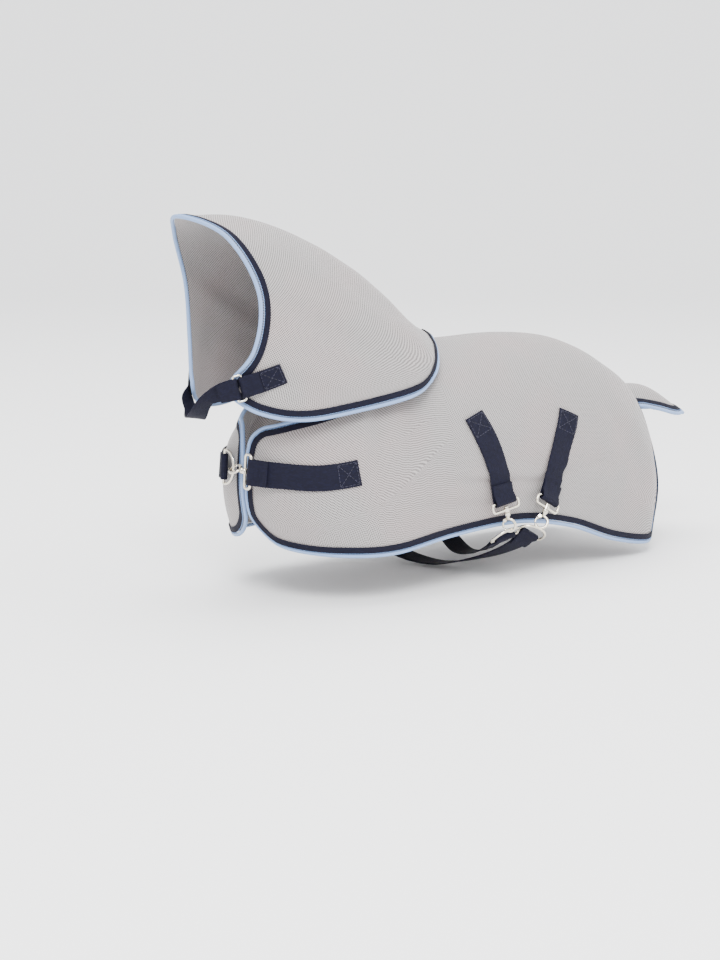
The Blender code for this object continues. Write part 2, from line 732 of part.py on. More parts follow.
def rounded_box(depth, width, radius, steps=3):
    """(along, across) places round a box that starts at 0 along, with rounded corners."""
    places = []
    centres = (
        (depth - radius, width / 2 - radius, 0),
        (radius, width / 2 - radius, 90),
        (radius, radius - width / 2, 180),
        (depth - radius, radius - width / 2, 270),
    )
    for along, across, start in centres:
        for k in range(steps + 1):
            turn = math.radians(start + 90 * k / steps)
            places.append((along + radius * math.cos(turn), across + radius * math.sin(turn)))
    return places


def snap(prefix, frame):
    """A swivel snap whose eye bar is at the frame's origin: eye, hook, gate and gate pin."""
    box = rounded_box(EYE_DEPTH, EYE_WIDTH, 0.0024)
    eye = wire_loop(f"{prefix}_snap_eye", frame, box, WIRE_RADIUS, "nickel")
    boss = [(EYE_DEPTH - 0.0017, COLLAR_RADIUS), (EYE_DEPTH + 0.0017, COLLAR_RADIUS)]
    eye = combined(eye, [rod("boss", frame, boss, 10, "nickel")], "UNION")
    bore = [(EYE_DEPTH - 0.004, POST_RADIUS + GAP), (EYE_DEPTH + 0.004, POST_RADIUS + GAP)]
    combined(eye, [rod("bore", frame, bore, 10, "nickel")], "DIFFERENCE")
    hook_and_gate(prefix, frame)


def hook_and_gate(prefix, frame):
    """The hook that swivels in the eye, and the sprung gate on it."""
    centre = HOOK_REACH
    low, high = EYE_DEPTH - 0.0017 - GAP, EYE_DEPTH + 0.0017 + GAP
    neck = centre - HOOK_RADIUS
    post = [
        (low - 0.0012, 0.0019),
        (low, 0.0019),
        (low + 1e-5, POST_RADIUS),
        (high - 1e-5, POST_RADIUS),
        (high, COLLAR_RADIUS),
        (high + 0.0026, COLLAR_RADIUS),
        (high + 0.0036, 0.0015),
        (neck - 0.0008, 0.0014),
        (neck + 0.0003, 0.0007),
    ]
    hook = rod(f"{prefix}_snap_hook", frame, post, 10, "nickel")
    turned = frame.across * math.cos(HOOK_TURN) + frame.out * math.sin(HOOK_TURN)
    plane = Frame(frame.place(centre), frame.along, np.cross(frame.along, turned))
    pin_at = HOOK_RADIUS * np.array([math.cos(GATE_START), math.sin(GATE_START)])
    arc = np.linspace(GATE_START - math.radians(12), HOOK_TIP, 14)
    flat = HOOK_RADIUS * np.stack([np.cos(arc), np.sin(arc)], 1)
    points = np.array([plane.place(a, b) for a, b in flat])
    first = np.array([plane.along * a + plane.across * b for a, b in unit(flat)])
    radii = np.full(len(arc), WIRE_RADIUS)
    radii[:2] *= (0.5, 0.8)
    radii[-1] *= 0.75
    bow = tube("bow", points, first, plane.out, radii, 8, "nickel")
    lug = pivot_disc("lug", plane, pin_at, 0.0015, 0.0006)
    combined(hook, [bow, lug], "UNION")
    combined(hook, [pivot_disc("hole", plane, pin_at, PIN_RADIUS + GAP, 0.003)], "DIFFERENCE")
    gate(prefix, plane, pin_at)


def pivot_disc(name, plane, place, radius, half):
    """A short round bar across the hook's plane."""
    middle = plane.place(*place)
    points = np.array([middle - plane.out * half, middle + plane.out * half])
    return tube(name, points, plane.along, plane.across, radius, 12, "nickel")


def gate(prefix, plane, pin_at):
    """The gate, forked over the hook's lug, and the pin it turns on."""
    arc = np.linspace(GATE_START + math.radians(4), HOOK_TIP + 2 * math.pi - TIP_ROOM, 8)
    flat = HOOK_RADIUS * np.stack([np.cos(arc), np.sin(arc)], 1)
    points = np.array([plane.place(a, b) for a, b in flat])
    first = np.array([plane.along * a + plane.across * b for a, b in unit(flat)])
    radii = np.full(len(points), GATE_RADIUS)
    radii[-1] *= 0.6
    bar = tube(f"{prefix}_snap_gate", points, first, plane.out, radii, 8, "nickel")
    fork = pivot_disc("fork", plane, pin_at, 0.0014, 0.0018)
    cheeks = tube("cheeks", points[:4], first[:4], plane.out * 2.1, GATE_RADIUS * 1.05, 8, "nickel")
    combined(bar, [fork, cheeks], "UNION")
    slot = pivot_disc("slot", plane, pin_at, 0.0021, 0.0006 + GAP)
    hole = pivot_disc("hole", plane, pin_at, PIN_RADIUS + GAP, 0.003)
    combined(bar, [slot, hole], "DIFFERENCE")
    pivot_disc(f"{prefix}_gate_pin", plane, pin_at, PIN_RADIUS, 0.0021)


def ring(name, bar):
    """A D-ring with its bar at the frame's origin and its bow along the frame."""
    width = EYE_WIDTH
    places = []
    for k in range(15):
        turn = math.pi * k / 14
        depth = RING_DEPTH * math.sin(turn) ** 0.8
        places.append((depth, width / 2 * math.cos(turn)))
    places += [(0, -width * 0.3), (0, 0), (0, width * 0.3)]
    wire_loop(name, bar, places, WIRE_RADIUS, "nickel")


def snap_span():
    """Eye bar to ring bar, with the ring's bow lying in the hook."""
    return HOOK_REACH + HOOK_RADIUS - 2 * WIRE_RADIUS - GAP + RING_DEPTH


def chest_strap(body, side, reach):
    """The line of a chest strap that ends that far from the middle."""
    path = SurfacePath(body[side], CHEST_LINE)
    distance = path.length
    while abs(path.at(distance)[0][1]) < reach:
        distance -= 1e-4
    path.length = distance
    return path


def build_chest(body):
    """The chest straps, the snap on the left one and the ring on the right one."""
    reach = snap_span() / 2
    for _ in range(4):
        bar = end_bar(strap_line(chest_strap(body, -1, reach), CHEST_RISE), WIRE_RADIUS)
        reach += snap_span() / 2 - abs(bar.origin[1])
    bars = {}
    for side, word in ((-1, "left"), (1, "right")):
        path = chest_strap(body, side, reach)
        bars[side] = strap_on(f"{word}_chest_strap", path, WEBBING_WIDTH, CHEST_RISE, WIRE_RADIUS)
    axis = bars[1].origin - bars[-1].origin
    out = bars[-1].out + bars[1].out
    snap("chest", Frame(bars[-1].origin, axis, out))
    ring("chest_ring", Frame(bars[1].origin, -axis, out))


def build_belly(body):
    """The belly tabs with their snaps, and the surcingles with their rings."""
    lines = (
        ("front", FRONT_TAB_LINE, "rear", REAR_SURCINGLE_LINE, -1),
        ("rear", REAR_TAB_LINE, "front", FRONT_SURCINGLE_LINE, 1),
    )
    for word, tab_line, far, far_line, level in lines:
        path = SurfacePath(body[-1], tab_line)
        frame = strap_on(f"left_{word}_tab", path, WEBBING_WIDTH, TAB_RISE, WIRE_RADIUS)
        snap(f"{word}_belly", frame)
        bow = frame.place(snap_span() - RING_DEPTH)
        inward = frame.along * math.cos(RING_DROP) - frame.out * math.sin(RING_DROP)
        out = frame.out * math.cos(RING_DROP) + frame.along * math.sin(RING_DROP)
        bar = Frame(bow + inward * RING_DEPTH, -inward, out)
        ring(f"{word}_belly_ring", bar)
        path = SurfacePath(body[1], far_line)
        start, wide = path.end()[0], abs(path.end()[0][1])
        low = BELLY_Z * BODY_DROP / 0.178 - BELLY_CROSS * level
        free = []
        for share in (0.55, 0.0, -0.5):
            along = (0.5 + share / 2) * start[0] + (0.5 - share / 2) * bar.origin[0]
            free.append((along, share * wide, low + 0.035 * share * share))
        dip = np.array([0, 0, -BELLY_CROSS * level])
        name = f"right_{far}_surcingle"
        strap_under(name, path, WEBBING_WIDTH, bar, WIRE_RADIUS, free, dip=dip)


def build_throat(neck):
    """The tab on the left of the neck, its ring, and the strap from the right side."""
    path = SurfacePath(neck[-1], THROAT_LINE)
    frame = strap_on("throat_tab", path, THROAT_WIDTH, THROAT_RISE, KEEPER_WIRE, 0.3)
    box = rounded_box(KEEPER_DEPTH, THROAT_WIDTH + 0.0036, 0.0014, 2)
    wire_loop("throat_ring", frame, box, KEEPER_WIRE, "nickel", 6)
    bar = Frame(frame.place(KEEPER_DEPTH), -frame.along, frame.out)
    path = SurfacePath(neck[1], THROAT_STRAP_LINE)
    place, along, _ = path.end()
    near = place + along * THROAT_RUN_ON
    far = bar.origin - bar.along * 0.014
    pulls = [near, near + along * THROAT_EASE, (near + far) / 2 + THROAT_SAG]
    free = bezier([*pulls, far - bar.along * THROAT_EASE, far], 5)
    strap_under(
        "throat_strap", path, THROAT_WIDTH, bar, KEEPER_WIRE, free, 0.3, climb=0.3, run_on=THROAT_RUN_ON
    )


def clear_scene():
    """Removes what is in the scene."""
    for found in list(bpy.data.objects):
        bpy.data.objects.remove(found)


def main():
    """Builds the whole fly sheet."""
    clear_scene()
    body, neck = build_sheets()
    build_chest(body)
    build_belly(body)
    build_throat(neck)


main()
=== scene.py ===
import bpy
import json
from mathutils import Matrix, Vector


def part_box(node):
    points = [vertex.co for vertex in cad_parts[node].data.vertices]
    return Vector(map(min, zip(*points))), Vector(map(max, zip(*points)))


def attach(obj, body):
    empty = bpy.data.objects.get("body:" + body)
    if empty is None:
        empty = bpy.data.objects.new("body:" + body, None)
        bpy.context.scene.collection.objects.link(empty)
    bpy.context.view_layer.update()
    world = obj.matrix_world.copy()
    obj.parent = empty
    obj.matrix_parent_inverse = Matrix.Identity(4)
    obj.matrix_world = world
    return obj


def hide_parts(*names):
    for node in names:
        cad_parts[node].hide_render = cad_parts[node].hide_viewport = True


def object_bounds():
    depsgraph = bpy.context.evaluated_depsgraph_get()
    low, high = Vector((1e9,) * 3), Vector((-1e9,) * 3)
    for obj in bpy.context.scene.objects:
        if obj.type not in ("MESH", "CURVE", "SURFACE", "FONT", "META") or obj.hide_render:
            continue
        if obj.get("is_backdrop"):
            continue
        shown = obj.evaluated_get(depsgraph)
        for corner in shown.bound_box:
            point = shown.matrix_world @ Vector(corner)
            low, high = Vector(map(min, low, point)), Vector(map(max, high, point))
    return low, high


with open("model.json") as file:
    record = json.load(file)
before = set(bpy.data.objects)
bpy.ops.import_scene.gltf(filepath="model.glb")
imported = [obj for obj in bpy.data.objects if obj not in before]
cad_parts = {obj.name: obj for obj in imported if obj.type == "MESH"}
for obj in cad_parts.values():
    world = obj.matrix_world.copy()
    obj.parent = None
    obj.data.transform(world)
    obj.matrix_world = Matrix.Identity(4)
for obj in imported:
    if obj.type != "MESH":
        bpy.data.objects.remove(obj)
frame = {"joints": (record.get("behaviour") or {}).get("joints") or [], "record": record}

"""Looks of a mesh fly sheet for a plush show pony.

The sheet is built as it is sewn: knitted mesh panels in pairs with taped centre seams, a
two-tone bound edge, straps of woven webbing, and swivel snaps and rings of plated metal.
Lengths are in metres. -X is towards the head, -Y the pony's left side and +Z up.
"""

import json
import logging
import math
from dataclasses import dataclass, field
from enum import Enum
from typing import Any, ClassVar, Optional, Sequence

import bmesh
import bpy
import numpy as np
from mathutils import Vector
from mathutils.bvhtree import BVHTree

LOG = logging.getLogger("fly_sheet")
MIRROR = np.array([1.0, -1.0, 1.0])
MM = 0.001


class Side(Enum):
    """A side of the pony, as the sign of Y."""

    LEFT = -1
    RIGHT = 1


class Slot(Enum):
    """The record's material slots."""

    MESH = "mesh_fabric"
    TAPE = "navy_tape"
    CORD = "blue_cord"
    WEBBING = "navy_webbing"
    NICKEL = "nickel"


# ---- Finishes -----------------------------------------------------------------------------


def linear(code: str) -> tuple[float, float, float, float]:
    """Turns an sRGB hex colour to linear light.

    Args:
        code: Six hex digits, with or without a leading #.

    Returns:
        Red, green, blue and an alpha of 1.
    """
    digits = code.lstrip("#")
    parts = [int(digits[i : i + 2], 16) / 255 for i in (0, 2, 4)]
    red, green, blue = (p / 12.92 if p <= 0.04045 else ((p + 0.055) / 1.055) ** 2.4 for p in parts)
    return red, green, blue, 1.0


def add_node(
    tree: bpy.types.NodeTree, kind: str, inputs: Optional[dict[Any, Any]] = None, **settings: Any
) -> bpy.types.Node:
    """Adds a node with its settings, its values and its links.

    Args:
        tree: The node tree that it goes in.
        kind: The node's type name.
        inputs: Input name or number to a value, or to the output socket that feeds it.
        **settings: Properties of the node.

    Returns:
        The new node.
    """
    node = tree.nodes.new(kind)
    for name, value in settings.items():
        setattr(node, name, value)
    for name, value in (inputs or {}).items():
        if isinstance(value, bpy.types.NodeSocket):
            tree.links.new(value, node.inputs[name])
        else:
            node.inputs[name].default_value = value
    return node


@dataclass(frozen=True)
class Finish:
    """A material, named for what the real one is and how it was made."""

    name: str
    slot: Optional[Slot]
    colour: str
    roughness: float

    def material(self) -> bpy.types.Material:
        """The Blender material, made on first use."""
        found = bpy.data.materials.get(self.name)
        if found:
            return found
        made = bpy.data.materials.new(self.name)
        made.use_nodes = True
        tree = made.node_tree
        shader = tree.nodes["Principled BSDF"]
        shader.inputs["Base Color"].default_value = linear(self.colour)
        shader.inputs["Roughness"].default_value = self.roughness
        self.dress(tree, shader)
        return made

    def dress(self, tree: bpy.types.NodeTree, shader: bpy.types.Node) -> None:
        """Adds the pattern that is the finish's own. A plain finish has none."""

    def pattern_uv(
        self, tree: bpy.types.NodeTree, cell: tuple[float, float], turn: float = 0.0
    ) -> bpy.types.NodeSocket:
        """Pattern coordinates with one cell to a unit.

        Args:
            tree: The material's tree.
            cell: The cell's length and width in metres.
            turn: The angle that the pattern is turned by, in radians.

        Returns:
            The socket that holds the coordinates.
        """
        place = add_node(tree, "ShaderNodeUVMap", uv_map="pattern")
        mapping = add_node(
            tree,
            "ShaderNodeMapping",
            {"Vector": place.outputs["UV"], "Rotation": (0, 0, turn), "Scale": (1 / cell[0], 1 / cell[1], 1)},
            vector_type="POINT",
        )
        return mapping.outputs["Vector"]


@dataclass(frozen=True)
class AirtexKnit(Finish):
    """Warp-knitted polyester mesh: open eyelets in offset rows, in a slightly lustrous yarn."""

    # The eyelet colour is painted shade: the dark seen through the open holes, laid on an opaque sheet.
    eyelet_shade: str = "#35302F"
    blush: str = "#A99C9B"
    # Eyelets are 1.5 mm apart on the real cloth. They are drawn at 2 mm, which is as fine as shows.
    pitch: float = 2.0 * MM
    patch: float = 60 * MM

    def dress(self, tree: bpy.types.NodeTree, shader: bpy.types.Node) -> None:
        """Eyelets with raised yarn round them and painted shade in them, and faint warm patches where light
        comes through.
        """
        side = self.pitch / math.sqrt(2)
        # A square lattice turned by an eighth of a circle has each row offset by half a pitch.
        grid = add_node(
            tree,
            "ShaderNodeTexVoronoi",
            {"Vector": self.pattern_uv(tree, (side, side), math.pi / 4), "Scale": 1.0, "Randomness": 0.06},
            voronoi_dimensions="2D",
            feature="F1",
        )
        hole = add_node(
            tree,
            "ShaderNodeMapRange",
            {"Value": grid.outputs["Distance"], "From Min": 0.20, "From Max": 0.42, "To Min": 1, "To Max": 0},
            interpolation_type="SMOOTHSTEP",
        )
        body = add_node(tree, "ShaderNodeTexCoord").outputs["Object"]
        cloud = add_node(
            tree, "ShaderNodeTexNoise", {"Vector": body, "Scale": 1 / self.patch, "Detail": 2.0}
        )
        warm = add_node(
            tree,
            "ShaderNodeMapRange",
            {"Value": cloud.outputs["Fac"], "From Min": 0.40, "From Max": 0.66, "To Min": 0, "To Max": 0.75},
        )
        yarn = add_node(
            tree,
            "ShaderNodeMix",
            {0: warm.outputs[0], 6: linear(self.colour), 7: linear(self.blush)},
            data_type="RGBA",
        )
        # Painted shade: the holes take the dark eyelet colour, standing for the shade seen through them.
        colour = add_node(
            tree,
            "ShaderNodeMix",
            {0: hole.outputs[0], 6: yarn.outputs[2], 7: linear(self.eyelet_shade)},
            data_type="RGBA",
        )
        tree.links.new(colour.outputs[2], shader.inputs["Base Color"])
        bump = add_node(
            tree,
            "ShaderNodeBump",
            {"Height": hole.outputs[0], "Strength": 0.45, "Distance": 0.35 * MM},
            invert=True,
        )
        tree.links.new(bump.outputs[0], shader.inputs["Normal"])
        shader.inputs["Sheen Weight"].default_value = 0.18
        shader.inputs["Sheen Roughness"].default_value = 0.45


@dataclass(frozen=True)
class WovenTape(Finish):
    """Woven polypropylene: ribs across its length that catch the light one by one."""

    rib: tuple[float, float] = (2.2 * MM, 0.9 * MM)
    # The light colour is a painted highlight: lighter floats for ribs that catch the light.
    light: str = "#0E0F26"
    height: float = 0.25 * MM

    def dress(self, tree: bpy.types.NodeTree, shader: bpy.types.Node) -> None:
        """Offset floats of yarn, some painted lighter as a highlight where a rib catches the light, with
        painted shade in the thin dark lines between them.
        """
        weave = add_node(
            tree,
            "ShaderNodeTexBrick",
            {
                "Vector": self.pattern_uv(tree, self.rib),
                "Color1": linear(self.colour),
                # Painted highlight: some floats take the lighter colour.
                "Color2": linear(self.light),
                # Painted shade: the gaps between floats are drawn darker.
                "Mortar": linear("#020208"),
                "Scale": 1.0,
                "Mortar Size": 0.07,
                "Mortar Smooth": 0.8,
                "Bias": -0.35,
                "Brick Width": 1.0,
                "Row Height": 1.0,
            },
        )
        tree.links.new(self.trim(tree, weave.outputs["Color"]), shader.inputs["Base Color"])
        bump = add_node(
            tree,
            "ShaderNodeBump",
            {"Height": weave.outputs["Fac"], "Strength": 0.6, "Distance": self.height},
            invert=True,
        )
        tree.links.new(bump.outputs[0], shader.inputs["Normal"])
        shader.inputs["Specular IOR Level"].default_value = 0.2

    def trim(self, tree: bpy.types.NodeTree, colour: bpy.types.NodeSocket) -> bpy.types.NodeSocket:
        """The colour with what is woven into the edge. Plain webbing has nothing there."""
        return colour


@dataclass(frozen=True)
class ToothedTape(WovenTape):
    """Binding tape whose outer edge is caught down by a row of the pale piping yarn."""

    tooth: float = 0.6 * MM
    reach: float = 0.6 * MM
    width: float = 5.2 * MM
    thread: str = "#7F9AC4"

    def trim(self, tree: bpy.types.NodeTree, colour: bpy.types.NodeSocket) -> bpy.types.NodeSocket:
        """Pale teeth along the outer edge, where the second pattern coordinate starts."""
        place = add_node(tree, "ShaderNodeUVMap", uv_map="pattern")
        split = add_node(tree, "ShaderNodeSeparateXYZ", {0: place.outputs["UV"]})
        saw = add_node(
            tree, "ShaderNodeMath", {0: split.outputs["X"], 1: self.tooth}, operation="PINGPONG"
        )
        edge = add_node(
            tree, "ShaderNodeMath", {0: saw.outputs[0], 1: self.reach / self.tooth}, operation="MULTIPLY"
        )
        pale = add_node(
            tree, "ShaderNodeMath", {0: split.outputs["Y"], 1: edge.outputs[0]}, operation="LESS_THAN"
        )
        toothed = add_node(
            tree,
            "ShaderNodeMix",
            {0: pale.outputs[0], 6: colour, 7: linear(self.thread)},
            data_type="RGBA",
        )
        return toothed.outputs[2]


@dataclass(frozen=True)
class BraidedCord(Finish):
    """Braided polyester cord: strands that cross in diamonds, with painted shade in the lines between them.
    """

    strand: float = 1.5 * MM
    # The hollow colour is painted shade in the crevices between strands.
    hollow_shade: str = "#5F79A4"

    def dress(self, tree: bpy.types.NodeTree, shader: bpy.types.Node) -> None:
        """Diamonds of yarn, raised in the middle, with painted shade towards their edges."""
        side = self.strand / math.sqrt(2)
        braid = add_node(
            tree,
            "ShaderNodeTexVoronoi",
            {"Vector": self.pattern_uv(tree, (side, side), math.pi / 4), "Scale": 1.0, "Randomness": 0.0},
            voronoi_dimensions="2D",
            distance="MANHATTAN",
        )
        low = add_node(
            tree,
            "ShaderNodeMapRange",
            {"Value": braid.outputs["Distance"], "From Min": 0.45, "From Max": 0.95, "To Max": 0.8},
        )
        # Painted shade: darker towards the edges of each diamond.
        colour = add_node(
            tree,
            "ShaderNodeMix",
            {0: low.outputs[0], 6: linear(self.colour), 7: linear(self.hollow_shade)},
            data_type="RGBA",
        )
        tree.links.new(colour.outputs[2], shader.inputs["Base Color"])
        bump = add_node(
            tree,
            "ShaderNodeBump",
            {"Height": braid.outputs["Distance"], "Strength": 0.5, "Distance": 0.3 * MM},
            invert=True,
        )
        tree.links.new(bump.outputs[0], shader.inputs["Normal"])
        shader.inputs["Sheen Weight"].default_value = 0.15


@dataclass(frozen=True)
class BondedThread(Finish):
    """Three-ply nylon thread, bonded: a tight twist with a slight gloss on each ply."""

    # The groove colour is painted shade in the grooves between plies.
    groove_shade: str = "#0D0D18"
    # The plies are 0.4 mm apart on the real thread. They are drawn at 0.8 mm, so that they show.
    twist: float = 0.8 * MM

    def dress(self, tree: bpy.types.NodeTree, shader: bpy.types.Node) -> None:
        """Slanted plies with painted shade in the grooves between them, so a stitch glints in the middle and
        not at its ends.
        """
        ply = add_node(
            tree,
            "ShaderNodeTexWave",
            {"Vector": add_node(tree, "ShaderNodeTexCoord").outputs["Object"], "Scale": 0.314 / self.twist},
            bands_direction="DIAGONAL",
        )
        # Painted shade: the grooves between plies take the dark groove colour.
        tone = add_node(
            tree,
            "ShaderNodeMix",
            {0: ply.outputs["Fac"], 6: linear(self.groove_shade), 7: linear(self.colour)},
            data_type="RGBA",
        )
        tree.links.new(tone.outputs[2], shader.inputs["Base Color"])
        bump = add_node(
            tree, "ShaderNodeBump", {"Height": ply.outputs["Fac"], "Strength": 0.5, "Distance": 0.1 * MM}
        )
        tree.links.new(bump.outputs[0], shader.inputs["Normal"])


@dataclass(frozen=True)
class NickelPlate(Finish):
    """Nickel plate on die-cast zinc, tumble-polished: warm and bright, with handling marks."""

    dull: float = 0.30
    grain: float = 0.7 * MM

    def dress(self, tree: bpy.types.NodeTree, shader: bpy.types.Node) -> None:
        """A metal whose polish varies a little, with the soft waviness of a tumbled casting."""
        shader.inputs["Metallic"].default_value = 1.0
        body = add_node(tree, "ShaderNodeTexCoord").outputs["Object"]
        wear = add_node(tree, "ShaderNodeTexNoise", {"Vector": body, "Scale": 1 / (6 * MM), "Detail": 4.0})
        rough = add_node(
            tree,
            "ShaderNodeMapRange",
            {
                "Value": wear.outputs["Fac"],
                "From Min": 0.35,
                "From Max": 0.7,
                "To Min": self.roughness,
                "To Max": self.dull,
            },
        )
        tree.links.new(rough.outputs[0], shader.inputs["Roughness"])
        wave = add_node(tree, "ShaderNodeTexNoise", {"Vector": body, "Scale": 1 / self.grain, "Detail": 1.0})
        bump = add_node(
            tree, "ShaderNodeBump", {"Height": wave.outputs["Fac"], "Strength": 0.12, "Distance": 0.1 * MM}
        )
        tree.links.new(bump.outputs[0], shader.inputs["Normal"])


@dataclass(frozen=True)
class StudioPaper(Finish):
    """A matt seamless paper sweep with a very faint tooth."""

    def dress(self, tree: bpy.types.NodeTree, shader: bpy.types.Node) -> None:
        """Paper fibres, too shallow to cast shade."""
        body = add_node(tree, "ShaderNodeTexCoord").outputs["Object"]
        tooth = add_node(tree, "ShaderNodeTexNoise", {"Vector": body, "Scale": 1 / (3 * MM)})
        bump = add_node(
            tree, "ShaderNodeBump", {"Height": tooth.outputs["Fac"], "Strength": 0.04, "Distance": 0.1 * MM}
        )
        tree.links.new(bump.outputs[0], shader.inputs["Normal"])


MESH = AirtexKnit("airtex_polyester_knit", Slot.MESH, "#A19D9C", 0.78)
TAPE = ToothedTape("navy_woven_binding", Slot.TAPE, "#07071A", 0.8, rib=(1.1 * MM, 0.8 * MM))
SEAM = WovenTape("navy_seam_tape", Slot.TAPE, "#07071A", 0.82, rib=(1.4 * MM, 1.0 * MM))
CORD = BraidedCord("pale_blue_braided_cord", Slot.CORD, "#7F9AC4", 0.7)
WEBBING = WovenTape("navy_woven_webbing", Slot.WEBBING, "#06061A", 0.78)
NICKEL = NickelPlate("polished_nickel_plate", Slot.NICKEL, "#D8D1C2", 0.14)
THREAD = BondedThread("navy_bonded_thread", Slot.WEBBING, "#2B2B42", 0.5)
PAPER = StudioPaper("white_paper_sweep", None, "#FAFAFA", 0.9)


# ---- Curves -------------------------------------------------------------------------------


def unit(v: Any) -> np.ndarray:
    """Vectors of length one along the last axis."""
    v = np.asarray(v, float)
    return v / np.maximum(np.linalg.norm(v, axis=-1, keepdims=True), 1e-12)


def through(a: np.ndarray, b: np.ndarray, c: np.ndarray, d: np.ndarray, f: np.ndarray) -> np.ndarray:
    """A smooth curve from b to c, read at f, with a before it and d after it."""
    return 0.5 * (2 * b + (c - a) * f + (2 * a - 5 * b + 4 * c - d) * f**2 + (3 * b - a - 3 * c + d) * f**3)


def spline(points: Any, u: Any) -> np.ndarray:
    """A smooth curve through points or whole rows of points.

    Args:
        points: The points, along the first axis.
        u: Where to read it, from 0 to 1.

    Returns:
        What is read at each u.
    """
    points = np.asarray(points, float)
    last = len(points) - 1
    padded = np.concatenate([2 * points[:1] - points[1:2], points, 2 * points[-1:] - points[-2:-1]])
    u = np.clip(np.asarray(u, float), 0, 1) * last
    k = np.minimum(u.astype(int), last - 1)
    f = (u - k).reshape(u.shape + (1,) * (points.ndim - 1))
    return through(padded[k], padded[k + 1], padded[k + 2], padded[k + 3], f)


def bezier(pulls: Sequence[np.ndarray], count: int) -> list[np.ndarray]:
    """Places evenly along the smooth curve that the pulls shape, without its two ends."""
    share = np.linspace(0, 1, count + 2)[1:-1, None]
    rows = [np.tile(pull, (count, 1)) for pull in pulls]
    while len(rows) > 1:
        rows = [a * (1 - share) + b * share for a, b in zip(rows, rows[1:])]
    return list(rows[0])


def lengths(points: np.ndarray) -> np.ndarray:
    """The distance along a line of points, from its first."""
    steps = np.linalg.norm(np.diff(points, axis=0), axis=-1)
    return np.concatenate([np.zeros((1,) + steps.shape[1:]), np.cumsum(steps, axis=0)])


@dataclass
class Frame:
    """A place with three directions: along, across and out."""

    origin: np.ndarray
    along: np.ndarray
    out: np.ndarray

    def __post_init__(self) -> None:
        """Makes the directions square to each other."""
        self.origin = np.array(self.origin, float)
        self.along = unit(self.along)
        self.out = unit(np.asarray(self.out, float) - self.along * np.dot(self.out, self.along))
        self.across = np.cross(self.out, self.along)

    def place(self, along: float = 0.0, across: float = 0.0, out: float = 0.0) -> np.ndarray:
        """The point that far along each direction."""
        return self.origin + self.along * along + self.across * across + self.out * out


# ---- Meshes -------------------------------------------------------------------------------


